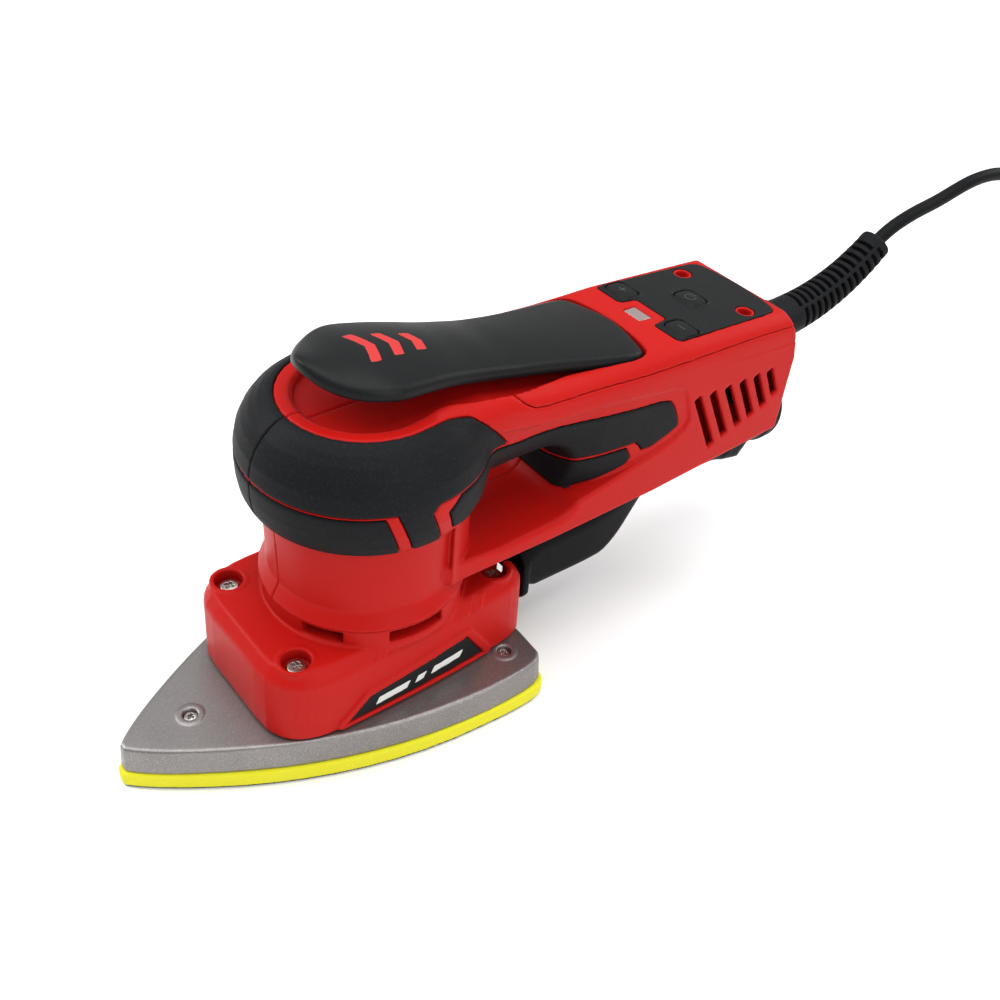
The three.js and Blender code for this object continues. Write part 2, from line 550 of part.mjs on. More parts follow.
// ---------------------------------------------------------------- cord
// Centre line of the strain relief and of the cord up to the coil.
const RELIEF_ROUTE = [[0, 178, 92], [0, 196, 92], [0, 214, 92.4], [0, 232, 95.2], [0, 248, 100.8], [0,
  260, 107.6], [0, 268, 113.6]];
const CORD_ROUTE = [
  [0, 268.4, 113.9], [0, 276, 118.4], [0, 292, 122.4], [0.3, 308, 124.6], [0.8, 323, 128.4], [1.5, 333,
    130.4],
  [2.5, 346, 130.6], [3.9, 358, 128], [5.8, 372, 120], [8, 385, 104], [10, 396, 82], [12, 405, 58],
  [13.9, 413, 36], [15.7, 421.5, 17], [17.2, 431, 7.2], [17.3, 439, 4.9],
];
const TAIL_ROUTE = [
  [104, 398, 20.4], [102.2, 392, 19.5], [100.6, 386, 18.9],
  [99.7, 380.5, 18.6], [99.5, 376.5, 18.5], [99.5, 373.3, 18.5],
];
const PLUG = { x: 99.5, z: 18.5, backY: 373, faceY: 335, tipY: 316, r: 18.2 };

// A short round piece across a route, at a fraction of its length.
function collarOn(curve, fraction, radius, length) {
  const geometry = new THREE.CylinderGeometry(radius, radius, length, 12);
  const turn = new THREE.Quaternion().setFromUnitVectors(new THREE.Vector3(0, 1, 0),
    curve.getTangentAt(fraction));
  geometry.applyQuaternion(turn);
  geometry.translate(...curve.getPointAt(fraction).toArray());
  return solid(geometry);
}

function strainRelief() {
  const curve = new THREE.CatmullRomCurve3(RELIEF_ROUTE.map((p) => new THREE.Vector3(...p)));
  const ribs = [];
  const count = 7;
  for (let i = 0; i < count; i += 1) {
    const t = i / (count - 1);
    ribs.push(collarOn(curve, 0.38 + 0.58 * t, 9.6 - 2.9 * t, 5));
  }
  const sleeve = tube([[0, 176, 92], [0, 190, 92], [0, 206, 92.1]], 11.2, 2, 16);
  const core = tube(RELIEF_ROUTE, 5.2, 8, 8);
  add('strain_relief', sleeve.add(core).add(Manifold.union(ribs)), 'rubber');
}

function cord() {
  add('power_cord', tube(CORD_ROUTE, CORD_R, 34, 10), 'rubber');
  add('cord_tail', tube(TAIL_ROUTE, CORD_R, 8, 10), 'rubber');
  const { x, y, inner, outer, bottom, top } = COIL;
  const low = [[inner, bottom + 2], [inner + 2, bottom], [outer - 2, bottom], [outer, bottom + 2]];
  const high = [[outer, top - 2], [outer - 2, top], [inner + 2, top], [inner, top - 2], [inner, bottom + 2]];
  add('cord_coil', turned([...low, ...high], x, y, 40), 'rubber');
  const [tieIn, tieOut, thick] = [inner - 1.8, outer + 0.4, 1.3];
  const loop = (extra) => roundedRect(
    (bottom + top) / 2, (tieIn + tieOut) / 2, (top - bottom) / 2 + GAP + extra,
      (tieOut - tieIn) / 2 + extra, 2 + extra,
  );
  const band = prism('y', loop(thick), -7, 7).subtract(prism('y', loop(0), -9, 9));
  add('cord_tie', band.rotate([0, 0, 90]).translate([x, y, 0]), 'black');
}

function plug() {
  const { x, z, backY, faceY, tipY, r } = PLUG;
  const neck = prism('y', roundedRect(z, x, 6.5, 6.5, 6.4), backY - 12, backY);
  const body = prism('y', roundedRect(z, x, r, r, r - 1.5, 5), faceY, backY - 11.5, 2);
  const holes = [-9.5, 9.5].map((dx) => prism('y', roundedRect(z, x + dx, 2.7, 2.7, 2.6), faceY - 1,
    faceY + 8));
  add('plug_body', body.add(neck).subtract(Manifold.union(holes)), 'black');
  [-9.5, 9.5].forEach((dx, i) => {
    add(`plug_pin_${i + 1}`, prism('y', roundedRect(z, x + dx, 2.4, 2.4, 2.3), tipY, faceY + 7.6), 'steel');
  });
}

housing();
grips();
lever();
buttons();
baseShell();
padAssembly();
motor();
electronics();
dustDuct();
strainRelief();
cord();
plug();

export default group;
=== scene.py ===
# %% [markdown]
# # An orbital sander, dressed
# The CAD part is the fixed frame of this lesson: its joints, its sizes and its
# mounting faces stay as they are. Around that frame we model the red moulded
# housing, the rubber grips, the cast base plate, the cord and the finishes.
import math
import bpy
import numpy as np
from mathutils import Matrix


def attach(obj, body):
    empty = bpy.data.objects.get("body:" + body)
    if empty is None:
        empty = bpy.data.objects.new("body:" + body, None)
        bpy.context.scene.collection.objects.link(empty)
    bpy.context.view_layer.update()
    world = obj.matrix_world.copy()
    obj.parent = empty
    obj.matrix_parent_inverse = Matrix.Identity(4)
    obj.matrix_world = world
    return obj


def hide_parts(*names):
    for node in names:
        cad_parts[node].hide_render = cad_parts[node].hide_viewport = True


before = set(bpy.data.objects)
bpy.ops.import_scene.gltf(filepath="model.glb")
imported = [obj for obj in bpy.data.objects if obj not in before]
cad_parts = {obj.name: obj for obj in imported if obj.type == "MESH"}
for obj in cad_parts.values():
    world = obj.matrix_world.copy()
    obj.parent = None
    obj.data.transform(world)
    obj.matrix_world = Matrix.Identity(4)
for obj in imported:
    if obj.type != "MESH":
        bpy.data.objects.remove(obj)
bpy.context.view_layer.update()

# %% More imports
import openvdb as vdb
from mathutils import Matrix, Vector

# %% [markdown]
# The camera stands in front of the sander, to the right of its nose and well above it.
# %% Camera
scene = bpy.context.scene
scene.view_settings.view_transform = "Standard"
scene.view_settings.look = "None"
camera_data = bpy.data.cameras.new("camera")
camera_data.lens = 43.44
camera_data.sensor_width = 36
camera_data.clip_start, camera_data.clip_end = 0.01, 20
camera = bpy.data.objects.new("camera", camera_data)
right = Vector((0.60931, 0.78964, 0.07217))
up = Vector((-0.53185, 0.33949, 0.77581))
back = Vector((0.58811, -0.51109, 0.62683))
turn = Matrix((right, up, back)).transposed()
camera.matrix_world = Matrix.Translation((0.27463, -0.17657, 0.34924)) @ turn.to_4x4()
scene.collection.objects.link(camera)
scene.camera = camera
print("camera", round(camera.location.length, 3), "m from the centre of the pad")

# %% [markdown]
# ## The power cord
# The cord leaves the strain relief, arches up and over, comes down to the bench and is
# wound into a flat coil of four layers. It ends in a round two-pin plug beside the coil.
# %% Route of the cord
MM = 0.001
CORD_R = 3.0
CORD_ROUTE = [(0, 268.4, 113.9), (0, 276, 118.4), (0, 292, 122.4), (0.3, 308, 124.6), (0.8, 323, 128.4),
              (1.5, 333, 130.4), (2.5, 346, 130.6), (3.9, 358, 128), (5.8, 372, 120), (8, 385, 104),
              (10, 396, 82), (12, 405, 58), (13.9, 413, 36), (15.7, 421.5, 17), (17.2, 431, 7.2),
              (17.3, 439, 4.9)]
TAIL_ROUTE = [(114, 429, 23.1), (111.6, 420, 23.0), (108.3, 410, 22.6), (104, 398, 20.4), (102.2, 392, 19.5),
              (100.6, 386, 18.9), (99.7, 380.5, 18.6), (99.5, 376.5, 18.5), (99.5, 373.3, 18.5)]
COIL_CENTRE = (69.0, 436.0)
COIL_OUTER, COIL_PITCH = 45.2, 6.15
LAYER_BOTTOM, LAYER_RISE = 4.9, 6.1
LAYER_TURNS, CLIMB_TURNS, LINK_TURNS = 2.8875, 0.25, 0.2
LINK_R = 51.7


def ease(t):
    t = min(max(t, 0.0), 1.0)
    return t * t * (3 - 2 * t)


def rounded_route(points, step=2.0):
    """Points along a smooth line through the given ones, in millimetres."""
    p = [np.array(q, float) for q in points]
    p = [2 * p[0] - p[1]] + p + [2 * p[-1] - p[-2]]
    out = []
    for a, b, c, d in zip(p, p[1:], p[2:], p[3:]):
        n = max(2, int(np.linalg.norm(c - b) / step))
        for i in range(n):
            t = i / n
            out.append(0.5 * (2 * b + (c - a) * t + (2 * a - 5 * b + 4 * c - d) * t * t
                              + (3 * b - a - 3 * c + d) * t ** 3))
    return out + [p[-2]]


def coil_points(per_turn=72):
    """The wound part: in along the bottom layer, up, out, up, in, up and out again."""
    inner = COIL_OUTER - LAYER_TURNS * COIL_PITCH
    stages = [("link", LINK_TURNS)]
    for layer in range(4):
        stages.append(("in" if layer % 2 == 0 else "out", LAYER_TURNS))
        if layer < 3:
            stages.append(("climb", CLIMB_TURNS))
    points, turned, layer = [], 0.0, 0
    for kind, turns in stages:
        n = max(4, round(turns * per_turn))
        for i in range(n):
            t = i / n
            height = LAYER_BOTTOM + LAYER_RISE * layer
            if kind == "link":
                radius = LINK_R + (COIL_OUTER - LINK_R) * ease(t)
            elif kind == "in":
                radius = COIL_OUTER - COIL_PITCH * turns * t
            elif kind == "out":
                radius = inner + COIL_PITCH * turns * t
            else:
                bulge = 0.4 * math.sin(math.pi * t)
                radius = inner - bulge if layer % 2 == 0 else COIL_OUTER + bulge
                height += LAYER_RISE * ease(t)
            angle = math.pi - 2 * math.pi * (turned + turns * t)
            points.append((COIL_CENTRE[0] + radius * math.cos(angle),
                           COIL_CENTRE[1] + radius * math.sin(angle), height))
        turned += turns
        layer += kind == "climb"
    return points


cord_line = rounded_route(CORD_ROUTE)[:-1] + [np.array(q) for q in coil_points()[1:]]
cord_line = np.array(cord_line + rounded_route(TAIL_ROUTE))
for _ in range(12):
    cord_line[1:-1] = 0.25 * cord_line[:-2] + 0.5 * cord_line[1:-1] + 0.25 * cord_line[2:]

# %% [markdown]
# ## Tools for sculpting
# Every moulded part is described as a field: at each point of a fine lattice it holds the
# distance to the surface, negative inside. Fields join, cut and blend smoothly, and the
# zero surface becomes a mesh. All lengths here are millimetres, in the frame's own axes.
# %% Fields
def smooth_min(a, b, k):
    h = np.clip(0.5 + 0.5 * (b - a) / k, 0, 1)
    return b * (1 - h) + a * h - k * h * (1 - h)


def smooth_max(a, b, k):
    return -smooth_min(-a, -b, k)


def polygon(u, v, points):
    """Signed distance to a closed outline in two coordinates, negative inside."""
    u, v = np.broadcast_arrays(u, v)
    nearest = np.full(u.shape, 1e9, np.float32)
    side = np.ones(u.shape, np.float32)
    for (ax, ay), (bx, by) in zip(points, [points[-1], *points[:-1]]):
        ex, ey, wx, wy = bx - ax, by - ay, u - ax, v - ay
        t = np.clip((wx * ex + wy * ey) / (ex * ex + ey * ey + 1e-12), 0, 1)
        nearest = np.minimum(nearest, (wx - ex * t) ** 2 + (wy - ey * t) ** 2)
        above, below, left = v >= ay, v < by, ex * wy > ey * wx
        side = np.where((above & below & left) | (~above & ~below & ~left), -side, side)
    return side * np.sqrt(nearest)


def rounded(points, rounds=2):
    """The same outline with its corners cut round."""
    p = [np.array(q, float) for q in points]
    for _ in range(rounds):
        p = [q for a, b in zip(p, p[1:] + p[:1]) for q in (a * 0.75 + b * 0.25, a * 0.25 + b * 0.75)]
    return [tuple(q) for q in p]


def both_sides(half):
    """A full outline from its right half, which starts and ends on the middle line."""
    return list(half) + [(-x, y) for x, y in reversed(half) if abs(x) > 1e-6]


def turned(r, z, points, step=0.25):
    """A lathe-turned solid from its half profile of (radius, height)."""
    ra = np.arange(0, r.max() + 1, step, dtype=np.float32)
    table = polygon(ra[:, None], z.reshape(1, -1), both_sides(points))
    f = r[..., 0] / step
    i = np.minimum(f.astype(int), len(ra) - 2)
    t = (f - i)[..., None]
    return (table[i] * (1 - t) + table[i + 1] * t).astype(np.float32)


def flowing(y, at, values, blur=4.0, step=0.5):
    """A smooth curve through a few values."""
    line = np.arange(at[0] - 15, at[-1] + 15, step)
    v = np.interp(line, at, values)
    n = int(blur / step) | 1
    for _ in range(2):
        v = np.convolve(np.pad(v, n // 2, "edge"), np.ones(n) / n, "valid")
    return np.interp(y, line, v).astype(np.float32)


def flowing_sheet(y, z, at_y, at_z, values, blur=5):
    """A smooth surface through a coarse table: rows along y, columns along z."""
    ys = np.arange(at_y[0] - 20, at_y[-1] + 21, 1.0)
    zs = np.arange(at_z[0] - 20, at_z[-1] + 21, 1.0)
    a = np.stack([np.interp(zs, at_z, row) for row in np.array(values, float)])
    a = np.stack([np.interp(ys, at_y, a[:, j]) for j in range(a.shape[1])], 1)
    kernel = np.ones(blur) / blur
    for axis in (0, 1, 0, 1):
        a = np.apply_along_axis(lambda q: np.convolve(np.pad(q, blur // 2, "edge"), kernel, "valid"), axis, a)
    fy = np.clip(y - ys[0], 0, len(ys) - 1.001)
    fz = np.clip(z - zs[0], 0, len(zs) - 1.001)
    iy, iz = fy.astype(int), fz.astype(int)
    ty, tz = fy - iy, fz - iz
    near = a[iy, iz] * (1 - ty) + a[iy + 1, iz] * ty
    far = a[iy, iz + 1] * (1 - ty) + a[iy + 1, iz + 1] * ty
    return (near * (1 - tz) + far * tz).astype(np.float32)


def block(x, y, z, centre, half, corner=0.0):
    """A box with rounded edges."""
    q = [np.abs(c - m) - h + corner for c, m, h in zip((x, y, z), centre, half)]
    outside = np.sqrt(sum(np.maximum(c, 0) ** 2 for c in q))
    return outside + np.minimum(np.maximum(np.maximum(q[0], q[1]), q[2]), 0) - corner


def join(*fields):
    out = fields[0]
    for f in fields[1:]:
        out = np.minimum(out, f)
    return out


def common(*fields):
    out = fields[0]
    for f in fields[1:]:
        out = np.maximum(out, f)
    return out


# %% From a field to a mesh
class Lattice:
    """Evenly spaced points in a box: X, Y and Z broadcast against each other."""

    def __init__(self, low, high, step):
        self.low, self.step = np.array(low, np.float32), step
        count = [int(math.ceil((b - a) / step)) + 1 for a, b in zip(low, high)]
        axes = [self.low[k] + step * np.arange(count[k], dtype=np.float32) for k in range(3)]
        self.X = axes[0].reshape(-1, 1, 1)
        self.Y = axes[1].reshape(1, -1, 1)
        self.Z = axes[2].reshape(1, 1, -1)


def relaxed(points, quads, rounds):
    """Points pulled towards their neighbours and pushed back, which evens out small steps."""
    ends = np.concatenate([quads[:, [0, 1]], quads[:, [1, 2]], quads[:, [2, 3]], quads[:, [3, 0]]])
    count = np.bincount(ends[:, 0], minlength=len(points)) + np.bincount(ends[:, 1], minlength=len(points))
    for k in range(rounds * 2):
        total = np.stack([np.bincount(ends[:, 0], points[ends[:, 1], c], len(points))
                          + np.bincount(ends[:, 1], points[ends[:, 0], c], len(points)) for c in range(3)], 1)
        points = points + (0.5 if k % 2 == 0 else -0.52) * (total / count[:, None] - points)
    return points


def surface(name, field, lattice, material, mirrored=False, relax=3):
    """The zero surface of a field as a smooth mesh. A mirrored field is closed across the middle."""
    low = lattice.low.copy()
    if mirrored:
        field = np.concatenate([field[:0:-1], field])
        low[0] = -(field.shape[0] // 2) * lattice.step
    grid = vdb.FloatGrid(5.0)
    grid.copyFromArray(np.array(field, dtype=np.float32, order="C"))
    points, quads = grid.convertToQuads(isovalue=0.0)
    points = relaxed(points.astype(float), quads, relax) * lattice.step + low
    return mesh_piece(name, points, quads[:, ::-1], material)


def mesh_piece(name, points, quads, material):
    mesh = bpy.data.meshes.new(name)
    mesh.from_pydata([], [], [])
    mesh.vertices.add(len(points))
    mesh.vertices.foreach_set("co", (points * MM).astype(np.float32).ravel())
    mesh.loops.add(len(quads) * 4)
    mesh.loops.foreach_set("vertex_index", np.ascontiguousarray(quads).astype(np.int32).ravel())
    mesh.polygons.add(len(quads))
    mesh.polygons.foreach_set("loop_start", np.arange(0, len(quads) * 4, 4, dtype=np.int32))
    mesh.update()
    mesh.shade_smooth()
    mesh.materials.append(material)
    piece = bpy.data.objects.new(name, mesh)
    scene.collection.objects.link(piece)
    return piece


def flipped(piece, name):
    """The left-hand twin of a right-hand piece."""
    mesh = piece.data.copy()
    mesh.transform(Matrix.Diagonal((-1, 1, 1, 1)))
    mesh.flip_normals()
    twin = bpy.data.objects.new(name, mesh)
    scene.collection.objects.link(twin)
    return twin


def belongs(piece, body, slot, *nodes):
    """The piece moves with a body and stands for its CAD nodes. The slot is not used."""
    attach(piece, body)
    if nodes:
        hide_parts(*nodes)
    return piece


print("sculpting tools ready")

# %% [markdown]
# ## Finishes
# Four small node groups make the surface detail: the grain left by the mould, the smudges
# of use and a broad flow tint, the sparkle and pits of a casting, and the wear along the edges.
# %% Node groups
def new_group(name, inputs, outputs):
    group = bpy.data.node_groups.new(name, "ShaderNodeTree")
    for socket, kind, value in inputs:
        made_socket = group.interface.new_socket(socket, in_out="INPUT", socket_type=kind)
        if value is not None:
            made_socket.default_value = value
    for socket in outputs:
        group.interface.new_socket(socket, in_out="OUTPUT", socket_type="NodeSocketFloat")
    return group, group.nodes.new("NodeGroupInput"), group.nodes.new("NodeGroupOutput")


def noise(tree, vector, scale, detail=3.0, roughness=0.55):
    node = tree.nodes.new("ShaderNodeTexNoise")
    node.inputs["Scale"].default_value = scale
    node.inputs["Detail"].default_value = detail
    node.inputs["Roughness"].default_value = roughness
    tree.links.new(vector, node.inputs["Vector"])
    return node.outputs["Fac"]


def ramp(tree, value, low, high, to_low=0.0, to_high=1.0):
    node = tree.nodes.new("ShaderNodeMapRange")
    node.interpolation_type = "SMOOTHSTEP"
    for socket, number in zip(("From Min", "From Max", "To Min", "To Max"), (low, high, to_low, to_high)):
        node.inputs[socket].default_value = number
    tree.links.new(value, node.inputs["Value"])
    return node.outputs["Result"]


def maths(tree, operation, a, b):
    node = tree.nodes.new("ShaderNodeMath")
    node.operation = operation
    for socket, value in zip(node.inputs, (a, b)):
        if isinstance(value, (int, float)):
            socket.default_value = value
        else:
            tree.links.new(value, socket)
    return node.outputs[0]


def grain_group():
    group, source, sink = new_group(
        "moulded grain", [("Position", "NodeSocketVector", None), ("Fineness", "NodeSocketFloat", 2400.0)],
        ["Height", "Speckle"])
    cells = group.nodes.new("ShaderNodeTexVoronoi")
    fine = group.nodes.new("ShaderNodeTexNoise")
    fine.inputs["Detail"].default_value = 2.0
    for node in (cells, fine):
        group.links.new(source.outputs["Position"], node.inputs["Vector"])
        group.links.new(source.outputs["Fineness"], node.inputs["Scale"])
    rise = maths(group, "ADD", maths(group, "MULTIPLY", cells.outputs["Distance"], 0.6), fine.outputs["Fac"])
    spots = group.nodes.new("ShaderNodeSeparateColor")
    group.links.new(cells.outputs["Color"], spots.inputs["Color"])
    group.links.new(rise, sink.inputs["Height"])
    group.links.new(ramp(group, spots.outputs["Red"], 0.86, 0.98), sink.inputs["Speckle"])
    return group


def handling_group():
    group, source, sink = new_group(
        "handling", [("Position", "NodeSocketVector", None)], ["Smudge", "Flow"])
    position = source.outputs["Position"]
    group.links.new(ramp(group, noise(group, position, 38, 4), 0.42, 0.68), sink.inputs["Smudge"])
    group.links.new(noise(group, position, 14, 2), sink.inputs["Flow"])
    return group


def casting_group():
    group, source, sink = new_group(
        "casting", [("Position", "NodeSocketVector", None)], ["Height", "Sparkle", "Stain"])
    position = source.outputs["Position"]
    cells = group.nodes.new("ShaderNodeTexVoronoi")
    cells.inputs["Scale"].default_value = 3600
    group.links.new(position, cells.inputs["Vector"])
    spots = group.nodes.new("ShaderNodeSeparateColor")
    group.links.new(cells.outputs["Color"], spots.inputs["Color"])
    swell = maths(group, "MULTIPLY", noise(group, position, 420, 3), 0.7)
    rise = maths(group, "ADD", noise(group, position, 2200, 4, 0.7), swell)
    group.links.new(rise, sink.inputs["Height"])
    group.links.new(ramp(group, spots.outputs["Green"], 0.55, 0.98), sink.inputs["Sparkle"])
    group.links.new(ramp(group, noise(group, position, 28, 4, 0.6), 0.35, 0.75), sink.inputs["Stain"])
    return group


def edge_group():
    group, source, sink = new_group("edge wear", [("Position", "NodeSocketVector", None)], ["Wear"])
    shape = group.nodes.new("ShaderNodeNewGeometry")
    sharp = ramp(group, shape.outputs["Pointiness"], 0.53, 0.60)
    patchy = ramp(group, noise(group, source.outputs["Position"], 260, 4, 0.65), 0.40, 0.62)
    group.links.new(maths(group, "MULTIPLY", sharp, patchy), sink.inputs["Wear"])
    return group


GRAIN, HANDLING, CASTING, EDGES = grain_group(), handling_group(), casting_group(), edge_group()
print("node groups:", ", ".join(g.name for g in (GRAIN, HANDLING, CASTING, EDGES)))


# %% Materials
def start_material(name):
    material = bpy.data.materials.new(name)
    material.use_nodes = True
    tree = material.node_tree
    place = tree.nodes.new("ShaderNodeTexCoord")
    return material, tree, place.outputs["Object"], tree.nodes["Principled BSDF"]


def use_group(tree, group, position):
    node = tree.nodes.new("ShaderNodeGroup")
    node.node_tree = group
    tree.links.new(position, node.inputs["Position"])
    return node


def tint(tree, amount, base, other):
    node = tree.nodes.new("ShaderNodeMix")
    node.data_type = "RGBA"
    tree.links.new(amount, node.inputs[0])
    for socket, colour in ((node.inputs[6], base), (node.inputs[7], other)):
        if isinstance(colour, tuple):
            socket.default_value = (*colour, 1)
        else:
            tree.links.new(colour, socket)
    return node.outputs[2]


def roughen(tree, shader, height, depth):
    bump = tree.nodes.new("ShaderNodeBump")
    bump.inputs["Strength"].default_value = 1.0
    bump.inputs["Distance"].default_value = depth * MM
    tree.links.new(height, bump.inputs["Height"])
    tree.links.new(bump.outputs["Normal"], shader.inputs["Normal"])


def moulded(name, colour, deep, worn, rough, fineness, depth, speckle=0.0, wear=0.25, specular=0.5):
    """A moulded plastic or rubber: flow tints, fine grain, pale speckle and lighter edges."""
    material, tree, position, shader = start_material(name)
    grain, marks, edges = (use_group(tree, g, position) for g in (GRAIN, HANDLING, EDGES))
    grain.inputs["Fineness"].default_value = fineness
    mixed = tint(tree, marks.outputs["Flow"], colour, deep)
    spots = maths(tree, "MULTIPLY", grain.outputs["Speckle"], speckle)
    mixed = tint(tree, spots, mixed, worn)
    mixed = tint(tree, maths(tree, "MULTIPLY", edges.outputs["Wear"], wear), mixed, worn)
    tree.links.new(mixed, shader.inputs["Base Color"])
    uneven = ramp(tree, grain.outputs["Height"], 0.3, 1.1, rough - 0.05, rough + 0.07)
    smudged = maths(tree, "SUBTRACT", uneven, maths(tree, "MULTIPLY", marks.outputs["Smudge"], 0.05))
    tree.links.new(smudged, shader.inputs["Roughness"])
    shader.inputs["Specular IOR Level"].default_value = specular
    roughen(tree, shader, grain.outputs["Height"], depth)
    return material


def metal(name, colour, dark, bright, rough, depth, metallic=1.0, sparkle=0.5, stain=0.5):
    """A cast or turned metal: pitted, sparkling where the grains catch the light, stained in places."""
    material, tree, position, shader = start_material(name)
    cast, edges = use_group(tree, CASTING, position), use_group(tree, EDGES, position)
    mixed = tint(tree, maths(tree, "MULTIPLY", cast.outputs["Stain"], stain), colour, dark)
    mixed = tint(tree, maths(tree, "MULTIPLY", cast.outputs["Sparkle"], sparkle), mixed, bright)
    mixed = tint(tree, maths(tree, "MULTIPLY", edges.outputs["Wear"], 0.4), mixed, bright)
    tree.links.new(mixed, shader.inputs["Base Color"])
    tree.links.new(ramp(tree, cast.outputs["Sparkle"], 0, 1, rough, rough - 0.1), shader.inputs["Roughness"])
    shader.inputs["Metallic"].default_value = metallic
    roughen(tree, shader, cast.outputs["Height"], depth)
    return material


red_plastic = moulded("red_plastic", (0.41, 0.0065, 0.0045), (0.36, 0.0055, 0.004), (0.50, 0.025, 0.02),
                      0.38, 2600, 0.02, 0.10, 0.25, 0.09)
grip_rubber = moulded("black_grip_rubber", (0.0062, 0.0066, 0.0075), (0.008, 0.0085, 0.0095),
                      (0.035, 0.036, 0.038), 0.50, 2600, 0.035, 0.22, 0.15, 0.07)
lever_plastic = moulded("satin_lever_plastic", (0.0055, 0.006, 0.0065), (0.0075, 0.008, 0.0085),
                        (0.035, 0.035, 0.035), 0.36, 3000, 0.015, 0.15, 0.2, 0.12)
panel_plastic = moulded("matt_panel_film", (0.0055, 0.006, 0.0065), (0.0075, 0.008, 0.0085),
                        (0.035, 0.035, 0.035), 0.42, 3200, 0.02, 0.2, 0.15, 0.11)
black_plastic = moulded("black_duct_plastic", (0.0035, 0.0037, 0.004), (0.005, 0.0052, 0.0055),
                        (0.022, 0.022, 0.022), 0.44, 1500, 0.05, 0.12, 0.15, 0.05)
cord_sheath = moulded("cord_sheath", (0.005, 0.0054, 0.006), (0.007, 0.0074, 0.008),
                      (0.028, 0.028, 0.028), 0.36, 1800, 0.03, 0.12, 0.15, 0.06)
pad_foam = moulded("yellow_pad_foam", (0.66, 0.62, 0.012), (0.60, 0.57, 0.010), (0.74, 0.71, 0.08), 0.68,
                   1500, 0.08, 0.25, 0.3, 0.3)
hook_fabric = moulded("dark_hook_fabric", (0.012, 0.035, 0.020), (0.02, 0.05, 0.03), (0.10, 0.16, 0.10),
                      0.90, 900, 0.35, 0.6, 0.1, 0.2)
mark_red = moulded("printed_red_mark", (0.50, 0.012, 0.012), (0.42, 0.010, 0.010), (0.60, 0.05, 0.05),
                   0.5, 2600, 0.01)
mark_pale = moulded("printed_pale_mark", (0.62, 0.62, 0.60), (0.54, 0.54, 0.52), (0.75, 0.75, 0.74), 0.5,
                    2600, 0.01)
mark_grey = moulded("printed_grey_mark", (0.018, 0.0185, 0.019), (0.015, 0.0155, 0.016),
                    (0.04, 0.04, 0.04), 0.45, 2600, 0.01)
circuit_board = moulded("green_circuit_board", (0.02, 0.12, 0.05), (0.015, 0.09, 0.04), (0.3, 0.3, 0.2),
                        0.4, 1200, 0.03, 0.3)
cast_aluminium = metal("cast_aluminium", (0.215, 0.203, 0.199), (0.135, 0.126, 0.122), (0.44, 0.43, 0.42),
                       0.42, 0.02, 0.85, 0.30, 0.35)
bright_steel = metal("bright_steel", (0.46, 0.44, 0.41), (0.28, 0.25, 0.20), (0.70, 0.69, 0.67), 0.26,
                     0.02, 1.0, 0.3, 0.4)
copper_winding = metal("copper_winding", (0.70, 0.30, 0.14), (0.40, 0.14, 0.06), (0.9, 0.55, 0.3), 0.35, 0.05)


def clear_window():
    """The small clear window over the lamp: polished plastic, faintly hazy, with light wear."""
    material, tree, position, shader = start_material("clear_lamp_window")
    marks = use_group(tree, HANDLING, position)
    haze = tint(tree, marks.outputs["Smudge"], (0.27, 0.165, 0.15), (0.17, 0.09, 0.085))
    tree.links.new(haze, shader.inputs["Base Color"])
    tree.links.new(ramp(tree, marks.outputs["Smudge"], 0, 1, 0.12, 0.24), shader.inputs["Roughness"])
    shader.inputs["Transmission Weight"].default_value = 0.35
    roughen(tree, shader, marks.outputs["Flow"], 0.05)
    return material


lamp_window = clear_window()
print("materials:", len(bpy.data.materials))

# %% [markdown]
# The cord itself is a round tube swept along its line.
# %% Cord
def swept_tube(name, line, thickness, material, sides=14):
    """A round tube along a line, closed at both ends."""
    ahead = np.gradient(line, axis=0)
    ahead /= np.linalg.norm(ahead, axis=1)[:, None]
    across = [np.cross(ahead[0], (1.0, 0.0, 0.0))]
    for direction in ahead[1:]:
        side = across[-1] - direction * (across[-1] @ direction)
        across.append(side / np.linalg.norm(side))
    across = np.array(across)
    across /= np.linalg.norm(across, axis=1)[:, None]
    over = np.cross(ahead, across)
    angle = np.linspace(0, 2 * math.pi, sides, endpoint=False)
    spokes = np.cos(angle)[None, :, None] * across[:, None] + np.sin(angle)[None, :, None] * over[:, None]
    rings = line[:, None] + thickness * spokes
    first = np.arange(len(line) - 1)[:, None] * sides
    here, there = np.arange(sides)[None], (np.arange(sides)[None] + 1) % sides
    quads = np.stack([first + here, first + there, first + sides + there, first + sides + here],
                     -1).reshape(-1, 4)
    points = np.concatenate([rings.reshape(-1, 3), line[:1], line[-1:]])
    n, last = len(points) - 2, (len(line) - 1) * sides
    start = [(n, (k + 2) % sides, k + 1, k) for k in range(0, sides, 2)]
    end = [(n + 1, last + k, last + k + 1, last + (k + 2) % sides) for k in range(0, sides, 2)]
    return mesh_piece(name, points, np.concatenate([quads, start, end]), material)


cord_piece = swept_tube("cord_looks", cord_line, CORD_R, cord_sheath)
belongs(cord_piece, "housing", "cord_sheath", "power_cord", "cord_coil", "cord_tail")
print("cord drawn through", len(cord_line), "rings")

